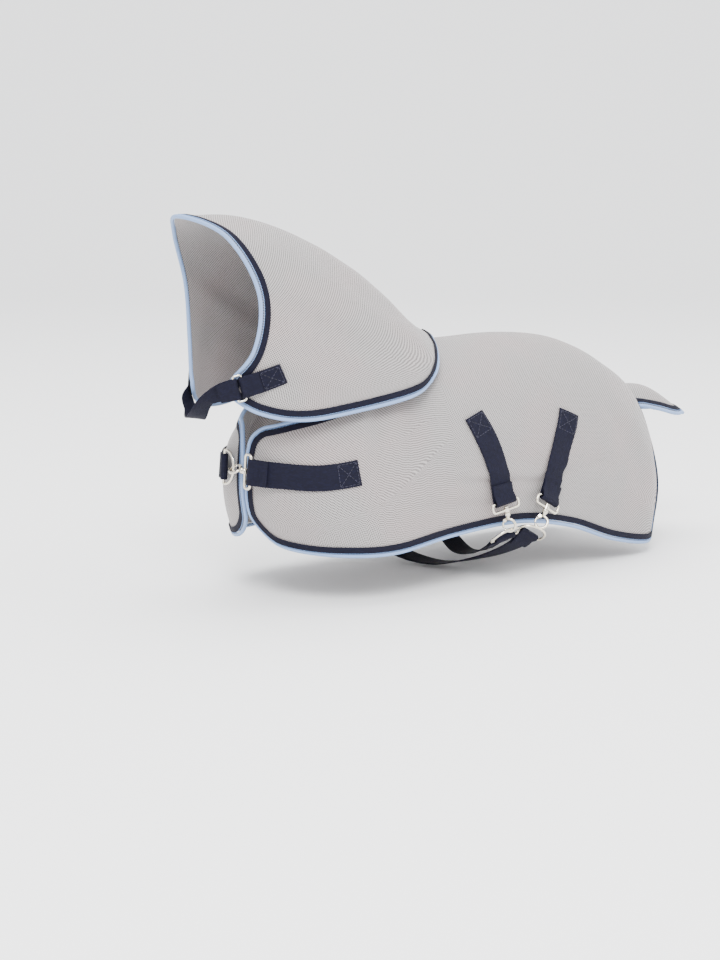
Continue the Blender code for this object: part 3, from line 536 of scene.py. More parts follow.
class Skin:
    """Faces gathered from one or more surfaces, which become one object."""

    def __init__(self) -> None:
        """Starts with nothing in it."""
        self.points: list[np.ndarray] = []
        self.faces: list[tuple[int, ...]] = []
        self.uv: list[tuple[float, float]] = []
        self.count = 0

    def add(self, points: np.ndarray, faces: Sequence[Sequence[int]], uv: Sequence[Any]) -> None:
        """Adds a surface.

        Args:
            points: Its points.
            faces: Its faces, numbered from its own first point.
            uv: A pattern place for each corner of each face in turn.
        """
        flat = np.asarray(points, float).reshape(-1, 3)
        self.points.append(flat)
        self.faces += [tuple(int(k) + self.count for k in face) for face in faces]
        self.uv += list(uv)
        self.count += len(flat)

    def sheet(
        self, points: np.ndarray, normals: np.ndarray, thick: float, uv: np.ndarray, edge: float = 1.0
    ) -> None:
        """Adds a closed sheet round a grid of points.

        Args:
            points: The grid, by row and column.
            normals: Its outward directions.
            thick: The sheet's thickness.
            uv: Pattern places of the grid.
            edge: The share of the thickness that is left at the first and last columns.
        """
        rows, columns = points.shape[:2]
        half = np.full(columns, thick / 2)
        half[[0, -1]] *= edge
        offset = normals * half[None, :, None]
        count = rows * columns
        i, j = np.meshgrid(np.arange(rows - 1), np.arange(columns - 1), indexing="ij")
        a = (i * columns + j).ravel()
        quad = np.stack([a, a + columns, a + columns + 1, a + 1], 1)
        rim = [k * columns for k in range(rows)]
        rim += [(rows - 1) * columns + k for k in range(1, columns)]
        rim += [k * columns + columns - 1 for k in reversed(range(rows - 1))]
        rim += list(reversed(range(1, columns - 1)))
        ends = np.array([(a, b) for a, b in zip(rim, rim[1:] + rim[:1])])
        wall = np.stack([ends[:, 0], count + ends[:, 0], count + ends[:, 1], ends[:, 1]], 1)
        faces = np.concatenate([quad, quad[:, ::-1] + count, wall])
        places = uv.reshape(-1, 2)
        corners = places[(faces % count).ravel()]
        both = np.concatenate([(points + offset).reshape(-1, 3), (points - offset).reshape(-1, 3)])
        self.add(both, faces, corners)

    def tube(
        self,
        points: np.ndarray,
        first: np.ndarray,
        second: np.ndarray,
        radii: Any,
        sides: int,
        closed: bool = False,
        flat: float = 1.0,
    ) -> None:
        """Adds a round bar along a line.

        Args:
            points: Its middle line.
            first: The direction at each point that its sections start from.
            second: The other direction of its sections.
            radii: Its radius, for all of it or for each point.
            sides: How many sides a section has.
            closed: Whether its end meets its start.
            flat: The radius along second as a share of that along first.
        """
        count = len(points)
        radii = np.broadcast_to(np.asarray(radii, float), (count,))[:, None, None]
        turn = np.arange(sides) * 2 * math.pi / sides
        first, second = np.broadcast_to(first, points.shape), np.broadcast_to(second, points.shape)
        section = np.cos(turn)[None, :, None] * first[:, None]
        section = section + np.sin(turn)[None, :, None] * second[:, None] * flat
        skin = points[:, None] + section * radii
        looped = np.concatenate([points, points[:1]]) if closed else points
        run = lengths(looped)
        girth = float(radii.mean()) * 2 * math.pi
        faces: list[tuple[int, ...]] = []
        uv: list[tuple[float, float]] = []
        for i in range(count if closed else count - 1):
            j = (i + 1) % count
            for k in range(sides):
                m = (k + 1) % sides
                faces.append((i * sides + k, i * sides + m, j * sides + m, j * sides + k))
                low, high = girth * k / sides, girth * (k + 1) / sides
                uv += [(run[i], low), (run[i], high), (run[i + 1], high), (run[i + 1], low)]
        if not closed:
            faces.append(tuple(range(sides)))
            faces.append(tuple((count - 1) * sides + k for k in reversed(range(sides))))
            uv += [(0.0, 0.0)] * (2 * sides)
        self.add(skin, faces, uv)

    def build(self, name: str, finish: Finish, crease: float = 42.0) -> bpy.types.Object:
        """Makes the object.

        Args:
            name: Its name.
            finish: Its finish.
            crease: The angle in degrees from which an edge stays sharp.

        Returns:
            The object, linked to the scene.
        """
        mesh = bpy.data.meshes.new(name)
        mesh.from_pydata(np.concatenate(self.points).tolist(), [], self.faces)
        layer = mesh.uv_layers.new(name="pattern")
        layer.data.foreach_set("uv", np.asarray(self.uv, np.float32).ravel())
        work = bmesh.new()
        work.from_mesh(mesh)
        bmesh.ops.recalc_face_normals(work, faces=work.faces)
        work.to_mesh(mesh)
        work.free()
        mesh.shade_smooth()
        mesh.set_sharp_from_angle(angle=math.radians(crease))
        mesh.materials.append(finish.material())
        made = bpy.data.objects.new(name, mesh)
        bpy.context.scene.collection.objects.link(made)
        return made


BODY_OF: dict[str, str] = {
    node: body
    for body, nodes in frame["record"]["behaviour"]["bodies"].items()
    for node in nodes
}
JOINTS: dict[str, dict[str, Any]] = {joint["name"]: joint for joint in frame["joints"]}


def stands_for(piece: bpy.types.Object, finish: Finish, *nodes: str) -> bpy.types.Object:
    """Sets a finished piece in the place of CAD nodes and on their body.

    Args:
        piece: The finished piece.
        finish: Not used.
        *nodes: The nodes that it stands for.

    Returns:
        The same piece.
    """
    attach(piece, BODY_OF[nodes[0]])
    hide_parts(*nodes)
    LOG.info("%s: %d faces, rides %s", piece.name, len(piece.data.polygons), BODY_OF[nodes[0]])
    return piece


def goes_with(piece: bpy.types.Object, body: str) -> bpy.types.Object:
    """Sets a small extra piece, such as stitching, on a body."""
    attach(piece, body)
    LOG.info("%s: %d faces, rides %s", piece.name, len(piece.data.polygons), body)
    return piece


# ---- Cloth --------------------------------------------------------------------------------


@dataclass(frozen=True)
class Block:
    """The pattern block's size against the part's, and where the part's origin is on it."""

    length: float = 0.392 / 392.0
    width: float = 0.088 / 88.0
    drop: float = 0.178 / 178.0
    rise: float = 0.110 / 110.0
    seat: float = 30.0
    back: float = 320.5
    cloth: float = 1.2 * MM
    gap: float = 0.3 * MM
    tape: float = 0.6 * MM

    def graded(self, ribs: Any) -> np.ndarray:
        """Block millimetres as metres in the part's frame."""
        p = np.asarray(ribs, float)
        z = p[..., 2] - self.back
        z = np.where(z > 0, z * self.rise, z * self.drop) + self.cloth / 2 + self.gap + self.tape
        return np.stack([(p[..., 0] - self.seat) * self.length, p[..., 1] * self.width, z], -1)


BLOCK = Block()
BODY_RIBS = (
    ((-204, 7, 262), (-207, 4.6, 241), (-208, 4.6, 221), (-206, 4.8, 202), (-200, 8, 184)),
    ((-190, 29, 268), (-199, 33, 244), (-201, 35, 220), (-199, 35, 197), (-192, 36, 176)),
    ((-158, 49, 278), (-172, 61, 250), (-176, 66, 222), (-175, 68, 197), (-169, 68, 173)),
    ((-108, 50, 295), (-122, 70, 266), (-127, 79, 234), (-129, 83, 202), (-127, 83, 172)),
    ((-42, 0, 318), (-58, 50, 298), (-66, 77, 262), (-68, 86, 218), (-67, 84, 179)),
    ((4, 0, 320), (2, 52, 303), (0, 80, 264), (-1, 88, 219), (-2, 87, 182)),
    ((55, 0, 320), (55, 53, 303), (55, 81, 262), (55, 88, 214), (55, 86, 172)),
    ((106, 0, 313), (106, 53, 297), (106, 81, 255), (107, 87, 204), (107, 83, 154)),
    ((149, 0, 293), (151, 47, 277), (153, 73, 240), (156, 79, 193), (154, 76, 144)),
    ((184, 0, 271), (184, 29, 257), (184, 47, 228), (187, 56, 188), (180, 58, 146)),
)
NECK_RIBS = (
    ((-264, 0, 428), (-245, 34, 414), (-226, 48, 373), (-227, 43, 329), (-241, 22, 299)),
    ((-215, 0, 426), (-203, 36, 406), (-194, 53, 365), (-202, 54, 319), (-222, 40, 284)),
    ((-165, 0, 411), (-157, 40, 389), (-155, 58, 350), (-168, 62, 309), (-192, 56, 278)),
    ((-115, 0, 384), (-110, 43, 362), (-114, 63, 332), (-128, 69, 304), (-148, 68, 283)),
    ((-70, 0, 347), (-68, 42, 333), (-78, 62, 317), (-91, 71, 302), (-105, 74, 290)),
    ((-28, 0, 325.5), (-38, 22, 321.5), (-49, 39, 315), (-62, 54, 307), (-76, 65, 297)),
)
FLAP_RIBS = (
    ((172, 0, 276.5), (172, 15, 272), (173, 24, 264)),
    ((194, 0, 265), (194, 15, 262), (194, 27, 252)),
    ((222, 0, 262), (222, 16, 258), (222, 29, 244)),
    ((259, 0, 240), (258, 17, 237), (254, 31, 226)),
)


@dataclass(frozen=True)
class Fold:
    """A soft fold: a ridge if its height is above 0, a valley if below, fading at both ends."""

    start: tuple[float, float]
    end: tuple[float, float]
    width: float
    height: float

    def rise(self, points: np.ndarray) -> np.ndarray:
        """How far it moves each point outwards, seen from the side."""
        here = points[..., [0, 2]]
        a, b = np.array(self.start), np.array(self.end)
        share = np.clip(((here - a) @ (b - a)) / ((b - a) @ (b - a)), 0, 1)
        away = np.linalg.norm(here - a - share[..., None] * (b - a), axis=-1)
        fade = np.sin(np.clip(share, 0.02, 0.98) * math.pi) ** 0.6
        return self.height * MM * fade * np.exp(-((away / (self.width * MM)) ** 2))


# Pull lines from the belly snaps, and the soft folds where the shoulder moves under the cloth.
BODY_FOLDS = (
    Fold((-0.108, -0.098), (-0.002, -0.109), 3.4, -2.38),
    Fold((-0.104, -0.093), (-0.008, -0.1035), 3.6, 1.38),
    Fold((-0.030, -0.110), (0.064, -0.098), 4.0, -1.62),
    Fold((-0.024, -0.104), (0.060, -0.092), 4.6, 1.12),
    Fold((-0.140, -0.116), (-0.060, -0.122), 4.2, -1.38),
    Fold((-0.166, -0.030), (-0.184, -0.082), 4.0, 1.88),
    Fold((-0.156, -0.034), (-0.172, -0.088), 4.4, -1.88),
    Fold((-0.143, -0.040), (-0.158, -0.090), 5.4, 1.5),
    Fold((-0.128, -0.060), (-0.150, -0.132), 7.0, -1.12),
    Fold((0.020, -0.030), (0.040, -0.100), 11.0, 1.12),
    Fold((0.066, -0.050), (0.118, -0.128), 8.0, -1.25),
    Fold((0.082, -0.040), (0.130, -0.112), 8.0, 1.25),
)
NECK_FOLDS = (
    Fold((-0.262, 0.070), (-0.150, 0.012), 9.0, 2.02),
    Fold((-0.250, 0.050), (-0.150, -0.004), 8.0, -2.02),
    Fold((-0.215, 0.088), (-0.115, 0.016), 9.0, -1.71),
    Fold((-0.190, 0.084), (-0.098, 0.020), 8.0, 1.71),
    Fold((-0.250, 0.006), (-0.180, -0.022), 6.5, 1.71),
    Fold((-0.150, 0.050), (-0.088, 0.002), 6.0, -1.4),
)


class Panel:
    """One side of a draped sheet: a smooth surface through ribs, with rounded corners.

    Places on it are (s, t): s runs along the ribs and t down them, both from 0 to 1.
    """

    CORE: ClassVar[float] = -0.09
    SEAM_BLEND: ClassVar[float] = 12 * MM
    EDGE_FADE: ClassVar[float] = 16 * MM

    def __init__(
        self,
        ribs: Any,
        side: Side,
        corners: Sequence[tuple[float, float]],
        size: tuple[int, int],
        under: Optional["Panel"] = None,
        clear: float = 0.0,
        folds: Sequence[Fold] = (),
    ) -> None:
        """Lays the surface out.

        Args:
            ribs: Block ribs, each from the seam down.
            side: The side of the pony that it is on.
            corners: The corner radii as shares, at (0, 0), (0, 1), (1, 1) and (1, 0).
            size: How many points it has along and down.
            under: The sheet that it lies over, or under where clear is below 0.
            clear: The distance from that sheet.
            folds: Its folds.
        """
        self.net, self.side, self.corners = BLOCK.graded(ribs), side.value, corners
        self.under, self.clear = under, clear
        u, v = np.meshgrid(np.linspace(0, 1, size[0]), np.linspace(0, 1, size[1]) ** 1.1, indexing="ij")
        self.points = self.point(*self.rounded(u, v))
        self.normals = self.facing(self.points)
        self.area = self.measured()
        self.points = self.folded(folds, u, v)
        self.normals = self.facing(self.points)
        self.tree = self.search_tree()

    def point(self, s: Any, t: Any) -> np.ndarray:
        """The middle of the cloth at (s, t), before any folds."""
        s, t = np.broadcast_arrays(np.asarray(s, float), np.asarray(t, float))
        ribs = spline(self.net, s.ravel())
        # Over the seam the cloth runs on level to the other side.
        level = np.clip(1 - ribs[:, 0, 1] / self.SEAM_BLEND, 0, 1)[:, None]
        before = ribs[:, 1] * MIRROR * level + (2 * ribs[:, 0] - ribs[:, 1]) * (1 - level)
        after = 2 * ribs[:, -1] - ribs[:, -2]
        rows = np.concatenate([before[:, None], ribs, after[:, None]], 1)
        last = ribs.shape[1] - 1
        place = np.clip(t.ravel(), 0, 1) * last
        k = np.minimum(place.astype(int), last - 1)
        n = np.arange(len(rows))
        found = through(rows[n, k], rows[n, k + 1], rows[n, k + 2], rows[n, k + 3], (place - k)[:, None])
        found = found.reshape(s.shape + (3,))
        found[..., 1] = np.maximum(found[..., 1], 0) * self.side
        return self.under.lifted(found, self.clear) if self.under else found

    def rounded(self, u: np.ndarray, v: np.ndarray) -> tuple[np.ndarray, np.ndarray]:
        """(s, t) for (u, v) in a square, with the square's corners drawn in to arcs."""
        a, b = 2 * u - 1, 2 * v - 1
        ring = np.maximum(np.maximum(np.abs(a), np.abs(b)), 1e-9)
        a, b = a / ring, b / ring
        which = np.where(a < 0, np.where(b < 0, 0, 1), np.where(b < 0, 3, 2))
        radius_s = np.array([c[0] * 2 for c in self.corners])[which]
        radius_t = np.array([c[1] * 2 for c in self.corners])[which]
        over_s = (np.abs(a) - (1 - radius_s)) / np.maximum(radius_s, 1e-9)
        over_t = (np.abs(b) - (1 - radius_t)) / np.maximum(radius_t, 1e-9)
        bend = (over_s > 0) & (over_t > 0) & (radius_s > 0)
        reach = np.maximum(np.hypot(over_s, over_t), 1e-9)
        a = np.where(bend, np.sign(a) * (1 - radius_s + radius_s * over_s / reach), a) * ring
        b = np.where(bend, np.sign(b) * (1 - radius_t + radius_t * over_t / reach), b) * ring
        return (a + 1) / 2, (b + 1) / 2

    def facing(self, points: np.ndarray) -> np.ndarray:
        """Outward directions of a grid on this panel."""
        normals = unit(np.cross(np.gradient(points, axis=0), np.gradient(points, axis=1)))
        middle = tuple(n // 2 for n in points.shape[:2])
        if normals[middle] @ self.out(points[middle]) < 0:
            normals = -normals
        seam = np.abs(points[:, 0, 1]) < BLOCK.gap
        normals[seam, 0, 1] = 0
        return unit(normals)

    def out(self, place: np.ndarray) -> np.ndarray:
        """Roughly outwards: away from a line inside the pony."""
        return np.array([0.15 * place[0], place[1], place[2] - self.CORE])

    def folded(self, folds: Sequence[Fold], u: np.ndarray, v: np.ndarray) -> np.ndarray:
        """The points moved out or in by the folds, which leave every edge where it is."""
        if not folds:
            return self.points
        rise = sum(fold.rise(self.points) for fold in folds)
        hand = 1 if self.side < 0 else 0.8
        x, z = self.points[..., 0], self.points[..., 2]
        rise = rise + 0.28 * MM * np.sin(x * 142 + z * 61) * np.sin(z * 118 - x * 47)
        edge = np.minimum(np.minimum(u, 1 - u) / 0.05, (1 - v) / 0.09)
        top = np.clip(np.abs(self.points[..., 1]) / (25 * MM), 0, 1)
        fade = np.clip(edge, 0, 1) * top
        return self.points + self.normals * (rise * hand * fade * fade * (3 - 2 * fade))[..., None]

    def measured(self) -> float:
        """The area of one face of the cloth."""
        a, b, c, d = (self.points[:-1, :-1], self.points[1:, :-1], self.points[1:, 1:], self.points[:-1, 1:])
        halves = np.cross(b - a, c - a), np.cross(c - a, d - a)
        return float(sum(np.linalg.norm(h, axis=-1).sum() for h in halves) / 2)

    def flat(self) -> tuple[float, float]:
        """The width and length of the rectangle that the panel is cut from."""
        down = float(lengths(self.points.swapaxes(0, 1))[-1].max())
        along = float(lengths(self.points)[-1].max())
        return down, along

    def search_tree(self) -> BVHTree:
        """A search tree over the panel's faces."""
        rows, columns = self.points.shape[:2]
        faces = [
            (i * columns + j, (i + 1) * columns + j, (i + 1) * columns + j + 1, i * columns + j + 1)
            for i in range(rows - 1)
            for j in range(columns - 1)
        ]
        return BVHTree.FromPolygons([Vector(p) for p in self.points.reshape(-1, 3)], faces)

    def on(self, points: Any, lift: float = 0.0) -> tuple[np.ndarray, np.ndarray]:
        """The nearest places on the cloth, raised by lift, and the cloth's normals there."""
        places, normals = [], []
        for p in np.asarray(points, float):
            place, normal, _, _ = self.tree.find_nearest(Vector(p))
            place, normal = np.array(place), np.array(normal)
            normal *= 1 if normal @ self.out(place) > 0 else -1
            places.append(place + normal * lift)
            normals.append(normal)
        return np.array(places), np.array(normals)

    def lifted(self, points: np.ndarray, clear: float) -> np.ndarray:
        """Points moved off this sheet where they are nearer than clear."""
        flat = points.reshape(-1, 3).copy()
        for i, p in enumerate(flat):
            place, normal, _, _ = self.tree.find_nearest(Vector(p))
            place, normal = np.array(place), np.array(normal)
            normal *= 1 if normal @ self.out(place) > 0 else -1
            height = (p - place) @ normal
            beside = np.linalg.norm(p - place - normal * height)
            fade = 1 - min(beside / self.EDGE_FADE, 1)
            move = max(clear - height, 0) if clear > 0 else min(clear - height, 0)
            flat[i] = p + normal * move * fade * fade * (3 - 2 * fade)
        return flat.reshape(points.shape)

    def normal(self, s: Any, t: Any, step: float = 2e-3) -> np.ndarray:
        """The outward direction at (s, t), before any folds."""
        s, t = np.broadcast_arrays(np.asarray(s, float), np.asarray(t, float))
        low_s, high_s = np.clip(s - step, 0, 1), np.clip(s + step, 0, 1)
        low_t, high_t = np.clip(t - step, 0, 1), np.clip(t + step, 0, 1)
        along = self.point(high_s, t) - self.point(low_s, t)
        down = self.point(s, high_t) - self.point(s, low_t)
        return unit(np.cross(down, along)) * self.side * -1

    def pattern(self) -> np.ndarray:
        """Pattern places of the grid, in metres of cloth."""
        return np.stack([lengths(self.points), lengths(self.points.swapaxes(0, 1)).T], -1)


@dataclass
class Cover:
    """A sheet made of two mirrored panels, with its taped seam and its bound edge."""

    prefix: str
    ribs: Any
    corners: Sequence[tuple[float, float]]
    size: tuple[int, int]
    folds: Sequence[Fold] = ()
    seam: Optional[str] = None
    seam_start: float = 0.0
    whole: bool = False
    closed_end: bool = True
    lies_with: Optional["Cover"] = None
    clear: float = 0.0
    tape_width: float = 5.2 * MM
    tape_rest: float = 0.3 * MM
    cord_radius: float = 1.6 * MM
    seam_width: float = 9 * MM
    panels: dict[Side, Panel] = field(default_factory=dict)
    pieces: list[bpy.types.Object] = field(default_factory=list)

    def lay_out(self) -> None:
        """Makes the surfaces of both sides."""
        for side in Side:
            under = self.lies_with.panels[side] if self.lies_with else None
            self.panels[side] = Panel(
                self.ribs, side, self.corners, self.size, under, self.clear, self.folds
            )

    def build(self) -> None:
        trim = self.edge()
        if self.seam:
            trim.append(self.seam_tape())
        cloth = [self.flap()] if self.whole else [self.half(side) for side in Side]
        width, length = self.panels[Side.LEFT].flat()
        area = self.panels[Side.LEFT].area
        if self.whole:
            width, area = width * 2, area * 2
        self.pieces = cloth

    def half(self, side: Side) -> bpy.types.Object:
        """One side's cloth, held back by half a seam at the middle."""
        panel = self.panels[side]
        points = panel.points.copy()
        held = np.abs(points[:, 0, 1]) < BLOCK.gap / 2
        points[held, 0, 1] = panel.side * BLOCK.gap / 2
        skin = Skin()
        skin.sheet(points, panel.normals, BLOCK.cloth, panel.pattern())
        word = side.name.lower()
        made = skin.build(f"{word}_{self.prefix}_mesh", MESH)
        return stands_for(made, MESH, f"{word}_{self.prefix}_panel")

    def flap(self) -> bpy.types.Object:
        """Both sides in one piece of cloth."""
        panel = self.panels[Side.LEFT]
        left, out = panel.points[:, ::-1], panel.normals[:, ::-1].copy()
        out[:, -1, 1] = 0
        points = np.concatenate([left, (left * MIRROR)[:, ::-1][:, 1:]], 1)
        normals = unit(np.concatenate([out, (out * MIRROR)[:, ::-1][:, 1:]], 1))
        uv = np.stack([lengths(points), lengths(points.swapaxes(0, 1)).T], -1)
        skin = Skin()
        skin.sheet(points, normals, BLOCK.cloth, uv)
        return stands_for(skin.build("tail_flap_mesh", MESH), MESH, "tail_flap")

    def rim(self) -> tuple[np.ndarray, np.ndarray]:
        """The points and normals right round the free edge, from the left side and its mirror."""
        panel = self.panels[Side.LEFT]
        rows, columns = panel.points.shape[:2]
        start = round(self.seam_start * (rows - 1))
        walk = [(i, 0) for i in range(start, 0, -1)]
        walk += [(0, j) for j in range(columns - 1)] if self.closed_end else []
        walk += [(i, columns - 1) for i in range(rows - 1)]
        walk += [(rows - 1, j) for j in range(columns - 1, -1, -1)]
        i, j = np.array(walk).T
        points, normals = panel.points[i, j].copy(), panel.normals[i, j].copy()
        for k in [-1] + ([0] if self.closed_end else []):
            points[k, 1], normals[k, 1] = 0, 0
        normals = unit(normals)
        inner = slice(1, -1) if self.closed_end else slice(0, -1)
        points = np.concatenate([points, (points[inner] * MIRROR)[::-1]])
        return points, np.concatenate([normals, (normals[inner] * MIRROR)[::-1]])

    def edge(self) -> list[bpy.types.Object]:
        """The flat tape and the braided cord round the free edge."""
        points, normals = self.rim()
        panel = self.panels[Side.LEFT]
        if self.closed_end:
            along = unit(np.roll(points, -1, axis=0) - np.roll(points, 1, axis=0))
        else:
            along = unit(np.gradient(points, axis=0))
        outward = unit(np.cross(along, normals))
        middle = len(points) // 4
        if outward[middle] @ (points[middle] - points.mean(axis=0)) < 0:
            outward = -outward
        flip = np.where(points[:, 1:2] > 0, MIRROR, 1)
        lift = BLOCK.cloth / 2 + BLOCK.gap + self.tape_rest + BLOCK.tape / 2
        columns, facing = [], []
        for share in (0.0, 0.06, 0.35, 0.65, 0.94, 1.0):
            place, out = panel.on((points - outward * self.tape_width * share) * flip)
            out = unit(out * flip * 0.5 + normals * 0.5)
            columns.append(place * flip + out * lift)
            facing.append(out)
        rows, faces = np.stack(columns, 1), np.stack(facing, 1)
        if self.closed_end:
            rows, faces = np.concatenate([rows, rows[:1]]), np.concatenate([faces, faces[:1]])
        across = np.array([0.0, 0.06, 0.35, 0.65, 0.94, 1.0]) * self.tape_width
        run = lengths(rows[:, 0])
        uv = np.stack(np.broadcast_arrays(run[:, None], across[None]), -1)
        skin = Skin()
        skin.sheet(rows, faces, BLOCK.tape, uv, edge=0.55)
        tape = skin.build(f"{self.prefix}_edge_tape", TAPE)
        stands_for(tape, TAPE, f"{self.prefix}_binding_tape")
        skin = Skin()
        line = points + outward * (self.cord_radius + BLOCK.gap)
        skin.tube(line, -outward, normals, self.cord_radius, 12, self.closed_end)
        cord = skin.build(f"{self.prefix}_edge_cord", CORD)
        return [tape, stands_for(cord, CORD, f"{self.prefix}_piping")]

    def seam_tape(self) -> bpy.types.Object:
        """The tape on the inside of the centre seam."""
        panel = self.panels[Side.LEFT]
        start = round(self.seam_start * (len(panel.points) - 1))
        middle = panel.points[start:, 0] * np.array([1, 0, 1])
        normals = unit(panel.normals[start:, 0] * np.array([1, 0, 1]))
        inset = 3 * MM
        run = lengths(middle)
        keep = np.clip(run, inset, run[-1] - inset)
        middle = np.stack([np.interp(keep, run, middle[:, k]) for k in range(3)], 1)
        middle, kept = np.unique(middle, axis=0, return_index=True)
        normals = normals[kept]
        drop = BLOCK.cloth / 2 + BLOCK.gap + BLOCK.tape / 2
        drop += self.tape_rest if self.lies_with else 0
        shares = np.array([-0.5, -0.46, -0.2, 0.2, 0.46, 0.5])
        columns = []
        for share in shares:
            beside = middle - np.array([0, self.seam_width * abs(share), 0])
            fall = panel.on(beside)[0][:, 2] - middle[:, 2]
            place = middle - normals * drop
            place[:, 1] = self.seam_width * share
            place[:, 2] += np.minimum(fall, 0)
            columns.append(place)
        rows = np.stack(columns, 1)
        uv = np.stack(np.broadcast_arrays(lengths(middle)[:, None], shares[None] * self.seam_width), -1)
        skin = Skin()
        skin.sheet(rows, np.repeat(normals[:, None], len(shares), 1), BLOCK.tape, uv, edge=0.6)
        made = skin.build(f"{self.prefix}_seam_inner_tape", SEAM)
        return stands_for(made, SEAM, self.seam)


# ---- Webbing ------------------------------------------------------------------------------


@dataclass
class SurfacePath:
    """A line over a panel between (s, t) places, read by distance from its start."""

    panel: Panel
    places: Sequence[tuple[float, float]]

    def __post_init__(self) -> None:
        """Measures the line."""
        places = spline(np.array(self.places), np.linspace(0, 1, 60))
        self.points = self.panel.point(places[:, 0], places[:, 1])
        self.normals = self.panel.normal(places[:, 0], places[:, 1])
        self.run = lengths(self.points)
        self.length = float(self.run[-1])

    def read(self, rows: np.ndarray, distance: float) -> np.ndarray:
        """Rows read at a distance."""
        return np.array([np.interp(distance, self.run, rows[:, i]) for i in range(3)])

    def at(self, distance: float) -> tuple[np.ndarray, np.ndarray, np.ndarray]:
        """(point, direction, normal) that far along, straight on past the ends."""
        inside = min(max(distance, 0), self.length)
        normal = unit(self.read(self.normals, inside))
        low, high = max(inside - 2e-3, 0), min(inside + 2e-3, self.length)
        direction = unit(self.read(self.points, high) - self.read(self.points, low))
        direction = unit(direction - normal * (direction @ normal))
        return self.read(self.points, inside) + direction * (distance - inside), direction, normal


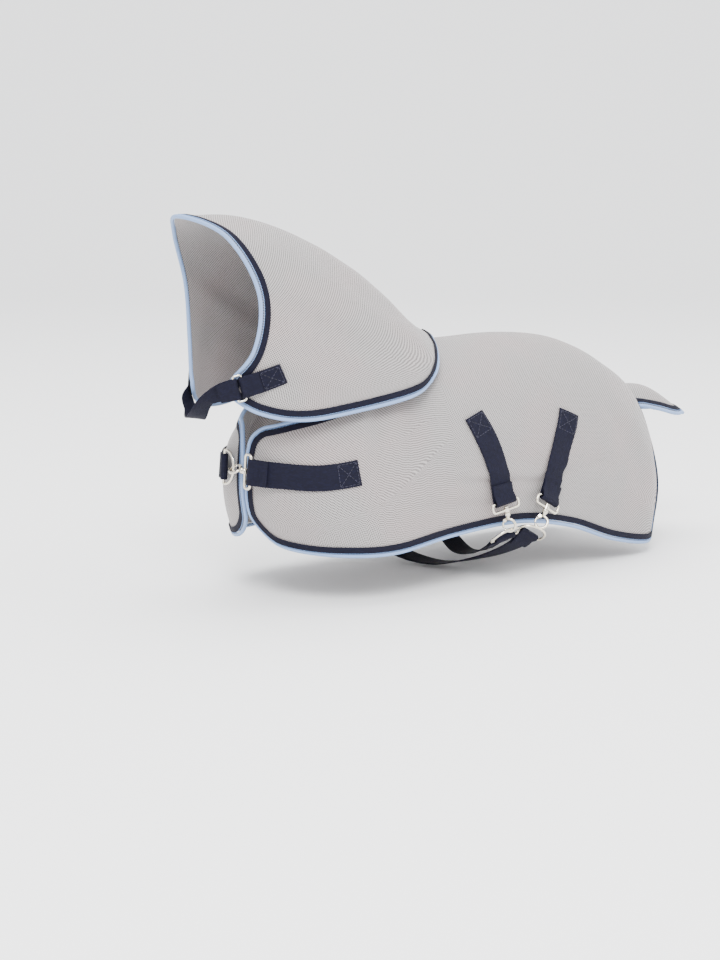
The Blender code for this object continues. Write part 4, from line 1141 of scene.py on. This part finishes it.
@dataclass
class Strap:
    """A strap of woven webbing, sewn down at one end and folded round a bar at the other."""

    name: str
    node: str
    width: float = 20 * MM
    thick: float = 1.1 * MM
    wire: float = 1.1 * MM
    rest: float = 0.4 * MM
    loop_room: float = 0.6 * MM
    edge_step: float = 2.0 * MM
    rows: list[np.ndarray] = field(default_factory=list)
    outs: list[np.ndarray] = field(default_factory=list)

    SHARES: ClassVar[np.ndarray] = np.array([-0.5, -0.47, -0.3, -0.1, 0.1, 0.3, 0.47, 0.5])

    def start_lift(self) -> float:
        """From the middle of the cloth to that of the strap sewn on it."""
        return BLOCK.cloth / 2 + BLOCK.gap + self.rest + self.thick / 2

    def loop_radius(self) -> float:
        """From the bar's middle to that of the webbing folded round it."""
        return self.wire + self.loop_room + self.thick / 2

    def line(
        self, path: SurfacePath, rise: float, distance: float
    ) -> tuple[np.ndarray, np.ndarray, np.ndarray]:
        """(point, direction, normal) of the strap's middle, by distance back from its end."""
        here = path.length - distance
        place, along, normal = path.at(here)
        share = max(here / path.length, 0)
        slope = 3 * rise / path.length * share**2
        lift = self.start_lift() + rise * share**3
        return place + normal * lift, unit(along + normal * slope), normal

    def end_bar(self, path: SurfacePath, rise: float) -> Frame:
        """The bar that the strap's end is folded round, with its along pointing off the strap."""
        place, along, out = self.line(path, rise, 0)
        out = unit(out - along * (out @ along))
        return Frame(place + out * self.loop_radius(), along, out)

    def add(
        self, middle: np.ndarray, along: np.ndarray, out: np.ndarray, panel: Optional[Panel], lift: float
    ) -> None:
        """Adds a station. On a panel, its row follows the cloth at that lift."""
        out = unit(out - along * (out @ along) / (along @ along))
        across = unit(np.cross(out, along))
        row = middle + across * self.width * self.SHARES[:, None]
        facing = np.repeat(out[None], len(row), 0)
        if panel:
            places, normals = panel.on(row)
            smooth = normals * 0.4 + out * 0.6
            row, facing = places + unit(smooth) * lift, unit(smooth)
        self.rows.append(row)
        self.outs.append(facing)

    def turn(self, bar: Frame) -> None:
        """Adds the fold round a bar, over its far side and back on top."""
        for angle in np.linspace(-60, 112, 16):
            turn = math.radians(float(angle))
            away = -bar.along * math.cos(turn) + bar.out * math.sin(turn)
            row = bar.origin + away * self.loop_radius() - bar.across * self.width * self.SHARES[:, None]
            self.rows.append(row)
            self.outs.append(np.repeat(-away[None], len(row), 0))

    def back(self, line: Any) -> None:
        """Adds the folded end, lying on the strap."""
        for distance in np.linspace(6.5 * MM, 13.5 * MM, 5):
            middle, along, out = line(float(distance))
            across = unit(np.cross(out, along)) * self.width
            self.rows.append(middle + out * (self.thick + BLOCK.gap * 2) + across * self.SHARES[:, None])
            self.outs.append(np.repeat(-out[None], len(self.SHARES), 0))

    def sewn(self, path: SurfacePath, rise: float, held: float = 0.75) -> Frame:
        """Runs the strap over a panel to its own bar.

        Args:
            path: Its line on the panel.
            rise: How far its end stands off the cloth.
            held: The share of it that follows the cloth across its whole width.

        Returns:
            The bar that its end is folded round.
        """
        length = path.length
        for here in np.linspace(0, length, max(int(length / (2.5 * MM)), 8)):
            middle, along, normal = self.line(path, rise, length - float(here))
            share = float(here) / length
            panel = path.panel if share < held else None
            self.add(middle, along, normal, panel, self.start_lift() + rise * share**3)
        bar = self.end_bar(path, rise)
        self.turn(Frame(bar.origin, -bar.along, bar.out))
        self.back(lambda distance: self.line(path, rise, distance))
        return bar

    def hung(
        self,
        path: SurfacePath,
        bar: Frame,
        free: Sequence[np.ndarray],
        held: float = 1.0,
        dip: Any = 0.0,
        climb: float = 3.0,
        run_on: float = 9 * MM,
    ) -> None:
        """Runs the strap off a panel, through free places, to a bar.

        Args:
            path: Its line on the panel.
            bar: The bar, with its along pointing back at the strap.
            free: The places that it hangs through.
            held: The share of it on the panel that follows the cloth.
            dip: How far it is moved beside the bar, to pass the other strap.
            climb: How late it rises to pass over the edge.
            run_on: How far it runs straight on past the edge.
        """
        bar = Frame(bar.origin, -bar.along, bar.out)
        length, start = path.length, self.start_lift()
        for here in np.linspace(0, length, max(int(length / (3 * MM)), 8))[:-1]:
            place, along, normal = path.at(float(here))
            lift = start + self.edge_step * (float(here) / length) ** climb
            panel = path.panel if here <= length * held else None
            self.add(place + normal * lift, along, normal, panel, lift)
        place, along, normal = path.at(length)
        first = place + normal * (start + self.edge_step)
        end = bar.origin - bar.out * self.loop_radius()
        places = [first - along * 6 * MM, first, first + along * run_on, *free]
        places += [end + bar.along * 14 * MM + dip, end]
        middles = spline(np.array(places), np.linspace(1 / (len(places) - 1), 1, 64))
        ways = unit(np.gradient(middles, axis=0))
        outs = []
        for k, (middle, way) in enumerate(zip(middles, ways)):
            part = k / (len(middles) - 1)
            below = unit(np.array([0, 0, -1.0]) + np.array([0, 1.2, 0]) * middle[1] / abs(end[1]))
            side = normal * max(1 - 3 * part, 0) + bar.out * max(3 * part - 2, 0)
            out = side + below * (1 - max(abs(2 * part - 1) * 3 - 2, 0))
            outs.append(unit(out - way * (out @ way)))
            self.add(middle, way, outs[-1], None, 0.0)
        self.turn(bar)
        run = lengths(middles)

        def line(distance: float) -> tuple[np.ndarray, ...]:
            """(point, direction, normal) by distance back from the bar."""
            at = run[-1] - distance
            read = [
                np.array([np.interp(at, run, r[:, i]) for i in range(3)])
                for r in (middles, ways, np.array(outs))
            ]
            return read[0], unit(read[1]), unit(read[2])

        self.back(line)

    def build(self) -> list[bpy.types.Object]:
        """Makes the strap and its stitching."""
        rows, outs = np.array(self.rows), unit(np.array(self.outs))
        run = lengths(rows.mean(axis=1))
        uv = np.stack(np.broadcast_arrays(run[:, None], self.SHARES[None] * self.width), -1)
        skin = Skin()
        skin.sheet(rows, outs, self.thick, uv, edge=0.5)
        strap = stands_for(skin.build(self.name, WEBBING), WEBBING, self.node)
        stitches = Stitching(rows, outs, run, self.width, self.thick).build(f"{self.name}_stitching")
        return [strap, goes_with(stitches, BODY_OF[self.node])]


@dataclass
class Stitching:
    """Lock stitches of bonded thread: a crossed box where the strap is sewn down."""

    rows: np.ndarray
    outs: np.ndarray
    run: np.ndarray
    width: float
    thick: float
    stitch: float = 2.3 * MM
    space: float = 0.5 * MM
    radius: float = 0.22 * MM
    box: float = 15 * MM
    margin: float = 1.6 * MM

    def place(self, distance: float, across: float) -> tuple[np.ndarray, np.ndarray]:
        """A point on the strap's outer face and the direction out of it there."""
        k = int(np.clip(np.searchsorted(self.run, distance) - 1, 0, len(self.run) - 2))
        f = (distance - self.run[k]) / max(self.run[k + 1] - self.run[k], 1e-9)
        shares = Strap.SHARES * self.width
        row = self.rows[k] * (1 - f) + self.rows[k + 1] * f
        out = unit(self.outs[k].mean(axis=0))
        point = np.array([np.interp(across, shares, row[:, i]) for i in range(3)])
        return point + out * (self.thick / 2 + self.radius * 0.5), out

    def build(self, name: str) -> bpy.types.Object:
        """Makes all the stitches as one object."""
        low, high = self.margin, self.margin + self.box
        side = self.width / 2 - self.margin
        loop = [(low, -side), (high, -side), (high, side), (low, side), (low, -side), (high, side)]
        skin = Skin()
        for line in (loop, [(low, side), (high, -side)]):
            for (a, b), (c, d) in zip(line, line[1:]):
                count = max(round(math.hypot(c - a, d - b) / (self.stitch + self.space)), 1)
                for k in range(count):
                    self.one(skin, (a, b), (c, d), (k + 0.1) / count, (k + 0.9) / count)
        return skin.build(name, THREAD, 80)

    def one(self, skin: Skin, start: Any, end: Any, first: float, last: float) -> None:
        """Adds one stitch, whose ends dip into the webbing."""
        points, out = [], np.zeros(3)
        for share, sink in ((0.0, 1.2), (0.2, 0.1), (0.8, 0.1), (1.0, 1.2)):
            at = first + (last - first) * share
            place, out = self.place(start[0] + (end[0] - start[0]) * at, start[1] + (end[1] - start[1]) * at)
            points.append(place - out * self.radius * sink)
        line = np.array(points)
        across = unit(np.cross(line[-1] - line[0], out))
        skin.tube(line, across, out, np.array([0.5, 1, 1, 0.5]) * self.radius, 6)


# ---- Metalwork ----------------------------------------------------------------------------


def wire_loop(skin: Skin, at: Frame, corners: Sequence[tuple[float, float]], wire: float) -> None:
    """Adds a closed loop of round wire, through (along, across) places in the frame's plane."""
    flat = np.array(corners)
    points = np.array([at.place(a, b) for a, b in flat])
    tangent = np.roll(flat, -1, axis=0) - np.roll(flat, 1, axis=0)
    normal = unit(np.stack([tangent[:, 1], -tangent[:, 0]], 1))
    first = normal[:, :1] * at.along + normal[:, 1:] * at.across
    skin.tube(points, first, at.out, wire, 16, closed=True)


def rounded_box(depth: float, width: float, radius: float, steps: int = 7) -> list[tuple[float, float]]:
    """(along, across) places round a box that starts at 0 along, with rounded corners."""
    places = []
    centres = (
        (depth - radius, width / 2 - radius, 0),
        (radius, width / 2 - radius, 90),
        (radius, radius - width / 2, 180),
        (depth - radius, radius - width / 2, 270),
    )
    for along, across, start in centres:
        for k in range(steps + 1):
            turn = math.radians(start + 90 * k / steps)
            places.append((along + radius * math.cos(turn), across + radius * math.sin(turn)))
    return places


@dataclass
class SwivelSnap:
    """A die-cast swivel snap and the ring that it holds, set where the record's joints are."""

    prefix: str
    wire: float = 1.1 * MM
    eye_width: float = 26.2 * MM
    eye_depth: float = 7.0 * MM
    ring_depth: float = 12.5 * MM
    hook_radius: float = 5.0 * MM
    hook_reach: float = 19.5 * MM
    hook_turn: float = math.radians(56)
    gate_start: float = math.radians(210)
    hook_tip: float = math.radians(-60)
    tip_room: float = math.radians(10.5)
    post: float = 1.1 * MM
    collar: float = 2.4 * MM
    pin: float = 0.5 * MM
    gate_radius: float = 0.8 * MM

    def joint(self, kind: str) -> tuple[np.ndarray, np.ndarray]:
        """The place and axis of one of the snap's joints."""
        found = JOINTS[f"{self.prefix}_{kind}"]
        return np.array(found["pos_m"], float), unit(found["axis"])

    def centre_of(self, node: str) -> np.ndarray:
        """The middle of a CAD node's box."""
        low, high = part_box(node)
        return (np.array(low) + np.array(high)) / 2

    def eye_frame(self) -> tuple[Frame, Frame]:
        """The frame of the eye and the plane that the hook's bow lies in."""
        origin, along = self.joint("hook_swivel")
        if (self.centre_of(f"{self.prefix}_snap_hook") - origin) @ along < 0:
            along = -along
        pin, axis = self.joint("gate_pivot")
        centre = origin + along * self.hook_reach
        place = self.hook_radius * np.array([math.cos(self.gate_start), math.sin(self.gate_start)])
        planes = [Frame(centre, along, axis * sign) for sign in (1, -1)]
        plane = min(planes, key=lambda p: float(np.linalg.norm(p.place(*place) - pin)))
        turned = plane.across
        across = turned * math.cos(self.hook_turn) - np.cross(along, turned) * math.sin(self.hook_turn)
        return Frame(origin, along, np.cross(along, across)), plane

    def lathe(self, skin: Skin, at: Frame, profile: Sequence[tuple[float, float]], sides: int = 20) -> None:
        """Adds a turned shape on the frame's along line."""
        points = np.array([at.place(a) for a, _ in profile])
        skin.tube(points, at.across, at.out, [r for _, r in profile], sides)

    def disc(self, skin: Skin, plane: Frame, place: np.ndarray, radius: float, half: float) -> None:
        """Adds a round boss across the hook's plane, with a rounded rim."""
        middle, soft = plane.place(*place), radius * 0.12
        low = radius - soft
        stations = [(-half, low), (-half + soft, radius), (half - soft, radius), (half, low)]
        points = np.array([middle + plane.out * s for s, _ in stations])
        skin.tube(points, plane.along, plane.across, [r for _, r in stations], 20)

    def arc(self, plane: Frame, angles: np.ndarray) -> tuple[np.ndarray, np.ndarray]:
        """Points round the hook's bow and the directions out of its middle."""
        flat = np.stack([np.cos(angles), np.sin(angles)], 1)
        points = np.array([plane.place(a, b) for a, b in flat * self.hook_radius])
        return points, flat[:, :1] * plane.along + flat[:, 1:] * plane.across

    def build(self) -> None:
        """Makes the eye, the hook, the gate, its pin and the ring."""
        eye, plane = self.eye_frame()
        place = self.hook_radius * np.array([math.cos(self.gate_start), math.sin(self.gate_start)])
        self.build_eye(eye)
        self.build_hook(eye, plane, place)
        self.build_gate(plane, place)
        self.build_ring()

    def build_eye(self, eye: Frame) -> None:
        """The flat eye that the strap folds round, with the boss that the hook turns in."""
        skin = Skin()
        wire_loop(skin, eye, rounded_box(self.eye_depth, self.eye_width, 2.4 * MM), self.wire)
        half, soft = 1.7 * MM, 0.3 * MM
        rim = [(-half, -soft), (soft - half, 0), (half - soft, 0), (half, -soft)]
        self.lathe(skin, eye, [(self.eye_depth + a, self.collar + r) for a, r in rim])
        made = skin.build(f"{self.prefix}_eye", NICKEL)
        stands_for(made, NICKEL, f"{self.prefix}_snap_eye")

    def build_hook(self, eye: Frame, plane: Frame, place: np.ndarray) -> None:
        """The swivel post, its neck and the open bow."""
        low, high = self.eye_depth - 1.7 * MM - BLOCK.gap, self.eye_depth + 1.7 * MM + BLOCK.gap
        neck = self.hook_reach - self.hook_radius
        profile = [
            (low - 1.25 * MM, 1.2 * MM),
            (low - 0.9 * MM, 1.9 * MM),
            (low, 1.9 * MM),
            (low + 0.01 * MM, self.post),
            (high - 0.01 * MM, self.post),
            (high, self.collar - 0.3 * MM),
            (high + 0.3 * MM, self.collar),
            (high + 2.3 * MM, self.collar),
            (high + 2.6 * MM, self.collar - 0.2 * MM),
            (high + 3.6 * MM, 1.5 * MM),
            (neck - 0.8 * MM, 1.4 * MM),
            (neck + 0.3 * MM, 0.7 * MM),
        ]
        skin = Skin()
        self.lathe(skin, eye, profile)
        angles = np.linspace(self.gate_start - math.radians(12), self.hook_tip, 44)
        points, first = self.arc(plane, angles)
        share = np.linspace(0, 1, len(points))
        radii = self.wire * np.clip(np.minimum(0.5 + share * 5, 1 - (share - 0.96).clip(0) * 9), 0.4, 1)
        skin.tube(points, first, plane.out, radii, 18)
        self.disc(skin, plane, place, 1.5 * MM, 0.6 * MM)
        made = skin.build(f"{self.prefix}_hook_bow", NICKEL)
        stands_for(made, NICKEL, f"{self.prefix}_snap_hook")

    def build_gate(self, plane: Frame, place: np.ndarray) -> None:
        """The sprung gate, with a cheek each side of the hook's lug, and its pin."""
        angles = np.linspace(
            self.gate_start + math.radians(26), self.hook_tip + 2 * math.pi - self.tip_room, 22
        )
        points, first = self.arc(plane, angles)
        share = np.linspace(0, 1, len(points))
        radii = self.gate_radius * (1 - (share - 0.9).clip(0) * 4)
        skin = Skin()
        skin.tube(points, first, plane.out, radii, 16)
        near, out = self.arc(plane, np.linspace(self.gate_start, self.gate_start + math.radians(36), 8))
        for sign in (-1, 1):
            shift = plane.out * 1.32 * MM * sign
            reach = np.linspace(1, 0.25, len(near))[:, None]
            radii = np.linspace(1.15 * MM, 0.75 * MM, len(near))
            skin.tube(near + shift * np.maximum(reach, 0.5), out, plane.out, radii, 12, flat=0.36)
            middle = plane.place(*place) + shift
            points = np.array([middle - plane.out * 0.4 * MM, middle + plane.out * 0.4 * MM])
            skin.tube(points, plane.along, plane.across, 1.35 * MM, 18)
        made = skin.build(f"{self.prefix}_gate_bar", NICKEL)
        stands_for(made, NICKEL, f"{self.prefix}_snap_gate")
        skin = Skin()
        self.disc(skin, plane, place, self.pin, 2.1 * MM)
        made = skin.build(f"{self.prefix}_gate_rivet", NICKEL)
        stands_for(made, NICKEL, f"{self.prefix}_gate_pin")

    def build_ring(self) -> None:
        """The D-ring that the hook holds."""
        origin, across = self.joint("ring_pivot")
        along = self.centre_of(f"{self.prefix}_ring") - origin
        along = unit(along - across * (along @ across))
        at = Frame(origin, along, np.cross(along, across))
        places = []
        for k in range(33):
            turn = math.pi * k / 32
            depth = self.ring_depth * math.sin(turn) ** 0.8
            places.append((depth, self.eye_width / 2 * math.cos(turn)))
        places += [(0.0, -self.eye_width * 0.3), (0.0, 0.0), (0.0, self.eye_width * 0.3)]
        skin = Skin()
        wire_loop(skin, at, places, self.wire)
        made = skin.build(f"{self.prefix}_d_ring", NICKEL)
        stands_for(made, NICKEL, f"{self.prefix}_ring")


# ---- Fastenings ---------------------------------------------------------------------------


@dataclass
class ChestFastening:
    """The two chest straps, with the snap on the left one and the ring on the right one."""

    cover: Cover
    line: Sequence[tuple[float, float]] = ((0.275, 0.43), (0.13, 0.38), (0.0, 0.345))
    rise: float = 5.2 * MM
    span: float = 34.5 * MM

    def path(self, side: Side, reach: float) -> SurfacePath:
        """The line of a strap that ends that far from the middle."""
        found = SurfacePath(self.cover.panels[side], self.line)
        distance = found.length
        while abs(found.at(distance)[0][1]) < reach:
            distance -= 1e-4
        found.length = distance
        return found

    def build(self) -> None:
        """Makes both straps and the snap between them."""
        snap = SwivelSnap("chest")
        span = snap.hook_reach + snap.hook_radius - 2 * snap.wire - BLOCK.gap + snap.ring_depth
        probe = Strap("probe", "left_chest_strap")
        reach = span / 2
        for _ in range(4):
            bar = probe.end_bar(self.path(Side.LEFT, reach), self.rise)
            reach += span / 2 - abs(bar.origin[1])
        for side in Side:
            word = side.name.lower()
            strap = Strap(f"{word}_chest_webbing", f"{word}_chest_strap")
            strap.sewn(self.path(side, reach), self.rise)
            strap.build()
        snap.build()


@dataclass
class BellyFastening:
    """The belly tabs with their snaps, and the surcingles that cross under the belly."""

    cover: Cover
    rise: float = 3.6 * MM
    low: float = -0.181
    cross: float = 3.0 * MM
    drop: float = math.radians(48)

    def build(self) -> None:
        """Makes the tabs, the surcingles and the two snaps."""
        lines = (
            (
                "front",
                ((0.483, 0.48), (0.508, 0.68), (0.517, 0.875)),
                "rear",
                ((0.668, 0.46), (0.660, 0.72), (0.652, 0.99)),
                -1,
            ),
            (
                "rear",
                ((0.667, 0.50), (0.630, 0.70), (0.601, 0.885)),
                "front",
                ((0.470, 0.46), (0.478, 0.72), (0.485, 0.99)),
                1,
            ),
        )
        for word, tab_line, far, far_line, level in lines:
            tab = Strap(f"left_{word}_belly_tab", f"left_{word}_tab")
            bar = tab.sewn(SurfacePath(self.cover.panels[Side.LEFT], tab_line), self.rise)
            tab.build()
            snap = SwivelSnap(f"{word}_belly")
            snap.build()
            reach = snap.hook_reach + snap.hook_radius - 2 * snap.wire - BLOCK.gap
            inward = bar.along * math.cos(self.drop) - bar.out * math.sin(self.drop)
            out = bar.out * math.cos(self.drop) + bar.along * math.sin(self.drop)
            ring = Frame(bar.place(reach) + inward * snap.ring_depth, -inward, out)
            self.surcingle(far, far_line, ring, level)

    def surcingle(self, word: str, places: Any, ring: Frame, level: int) -> None:
        """Makes one surcingle, from the right side to its ring on the left."""
        path = SurfacePath(self.cover.panels[Side.RIGHT], places)
        start = path.at(path.length)[0]
        low = self.low - self.cross * level
        free = []
        for share in (0.55, 0.0, -0.5):
            along = (0.5 + share / 2) * start[0] + (0.5 - share / 2) * ring.origin[0]
            free.append(np.array([along, share * abs(start[1]), low + 0.035 * share * share]))
        strap = Strap(f"right_{word}_surcingle_webbing", f"right_{word}_surcingle")
        strap.hung(path, ring, free, dip=np.array([0, 0, -self.cross * level]))
        strap.build()


@dataclass
class ThroatFastening:
    """The short tab on the neck cover, its keeper, and the strap that comes under the throat."""

    cover: Cover
    width: float = 16 * MM
    rise: float = 3.0 * MM
    keeper_wire: float = 0.8 * MM
    keeper_depth: float = 6.2 * MM
    keeper_room: float = 3.6 * MM
    keeper_corner: float = 1.4 * MM
    sag: tuple[float, float, float] = (-0.0064, 0.0, -0.024)
    run_on: float = 9 * MM
    ease: float = 18 * MM

    def build(self) -> None:
        """Makes the tab, the keeper and the strap."""
        path = SurfacePath(self.cover.panels[Side.LEFT], ((0.175, 0.80), (0.11, 0.87), (0.055, 0.93)))
        tab = Strap("throat_tab_webbing", "throat_tab", width=self.width, wire=self.keeper_wire)
        bar = tab.sewn(path, self.rise, 0.3)
        tab.build()
        skin = Skin()
        box = rounded_box(self.keeper_depth, self.width + self.keeper_room, self.keeper_corner, 5)
        wire_loop(skin, bar, box, self.keeper_wire)
        stands_for(skin.build("throat_keeper", NICKEL), NICKEL, "throat_ring")
        far = Frame(bar.place(self.keeper_depth), -bar.along, bar.out)
        path = SurfacePath(self.cover.panels[Side.RIGHT], ((0.10, 0.62), (0.10, 0.82), (0.10, 0.99)))
        place, along, _ = path.at(path.length)
        near, end = place + along * self.run_on, far.origin - far.along * 14 * MM
        pulls = [near, near + along * self.ease, (near + end) / 2 + np.array(self.sag)]
        free = bezier([*pulls, end - far.along * self.ease, end], 5)
        strap = Strap("throat_strap_webbing", "throat_strap", width=self.width, wire=self.keeper_wire)
        strap.hung(path, far, free, held=0.3, climb=0.3, run_on=self.run_on)
        strap.build()


# ---- Studio -------------------------------------------------------------------------------


@dataclass
class Studio:
    """A pale paper sweep, soft lights and the camera."""

    target: tuple[float, float, float] = (-0.1246, 0.0, -0.107)
    azimuth: float = math.radians(38.7)
    elevation: float = math.radians(10)
    distance: float = 1.8
    lens: float = 84.375
    floor_drop: float = 4 * MM

    def back(self) -> Vector:
        """The direction from the target to the camera."""
        level = math.cos(self.elevation)
        across = Vector((-math.sin(self.azimuth), -math.cos(self.azimuth), 0)) * level
        return across + Vector((0, 0, math.sin(self.elevation)))

    def build(self, low: float) -> None:
        """Makes the floor under the lowest point, the lights and the camera."""
        self.sweep(low - self.floor_drop)
        self.lamp("key", (-1.3, -1.5, 1.7), 1.2, 84)
        self.lamp("fill", (1.5, -1.3, 0.7), 1.8, 19)
        self.lamp("top", (0.1, 0.4, 1.9), 1.7, 44)
        world = bpy.data.worlds.new("white_room")
        world.use_nodes = True
        world.node_tree.nodes["Background"].inputs["Color"].default_value = linear("#F4F5F7")
        world.node_tree.nodes["Background"].inputs["Strength"].default_value = 2.0
        bpy.context.scene.world = world
        self.camera()

    def sweep(self, level: float) -> None:
        """The paper: a floor that curves up far behind the object."""
        back = -self.back()
        away = unit([back.x, back.y, 0])
        side = np.array([-away[1], away[0], 0])
        profile = [(-3.0, 0.0), (2.4, 0.0)]
        turns = np.linspace(0.1, math.pi / 2, 12)
        profile += [(2.4 + 1.2 * math.sin(a), 1.2 * (1 - math.cos(a))) for a in turns]
        profile += [(3.6, 4.5)]
        rows = [
            [away * along + side * across + np.array([0, 0, level + up]) for across in (-4.0, 0.0, 4.0)]
            for along, up in profile
        ]
        points = np.array(rows)
        skin = Skin()
        skin.sheet(points, self.upward(points), 2 * MM, points[..., :2])
        skin.build("paper_sweep", PAPER, 60)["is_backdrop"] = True

    def upward(self, points: np.ndarray) -> np.ndarray:
        """Directions out of the paper's face."""
        return unit(np.cross(np.gradient(points, axis=1), np.gradient(points, axis=0)))

    def lamp(self, name: str, place: Sequence[float], size: float, power: float) -> None:
        """A large soft light that faces the object."""
        light = bpy.data.lights.new(name, "AREA")
        light.shape, light.size, light.energy = "DISK", size, power
        made = bpy.data.objects.new(name, light)
        made.location = place
        made.rotation_euler = (Vector(self.target) - Vector(place)).to_track_quat("-Z", "Y").to_euler()
        bpy.context.scene.collection.objects.link(made)

    def camera(self) -> None:
        """The camera, at the object's own three-quarter view."""
        lens = bpy.data.cameras.new("camera")
        lens.lens, lens.sensor_width, lens.clip_start = self.lens, 36, 0.05
        made = bpy.data.objects.new("camera", lens)
        made.location = Vector(self.target) + self.back() * self.distance
        made.rotation_euler = (-self.back()).to_track_quat("-Z", "Y").to_euler()
        bpy.context.scene.collection.objects.link(made)
        bpy.context.scene.camera = made


# ---- The whole sheet ----------------------------------------------------------------------


@dataclass
class FlySheet:
    """The body sheet, the neck cover and the tail flap, with all that fastens them."""

    layer: float = 4.4 * MM
    under: float = 4.6 * MM

    def build(self) -> None:
        """Makes every piece in the order that it is sewn."""
        body = Cover(
            "body", BODY_RIBS, ((0.05, 0.13), (0.08, 0.21), (0.055, 0.18), (0, 0)), (163, 66),
            BODY_FOLDS, "spine_seam_tape", 4 / 9,
        )
        body.lay_out()
        neck = Cover(
            "neck", NECK_RIBS, ((0, 0), (0.08, 0.09), (0.11, 0.22), (0, 0)), (97, 61),
            NECK_FOLDS, "ridge_seam_tape", lies_with=body, clear=self.layer,
        )
        neck.lay_out()
        flap = Cover(
            "flap", FLAP_RIBS, ((0, 0), (0, 0), (0.45, 0.75), (0, 0)), (41, 23),
            whole=True, closed_end=False, lies_with=body, clear=-self.under,
        )
        flap.lay_out()
        for cover in (body, neck, flap):
            cover.build()
        ChestFastening(body).build()
        BellyFastening(body).build()
        ThroatFastening(neck).build()


def corners_of(box: Any) -> list[list[float]]:
    """A box's two corners as plain lists."""
    return [[float(v) for v in corner] for corner in box]


def main() -> None:
    """Builds the sheet and the studio."""
    logging.basicConfig(level=logging.INFO, format="%(name)s: %(message)s")
    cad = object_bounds()
    FlySheet().build()
    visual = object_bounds()
    Studio().build(min(cad[0].z, visual[0].z))
    LOG.info("cad box %s, visual box %s", corners_of(cad), corners_of(visual))


if __name__ == "__main__":
    main()
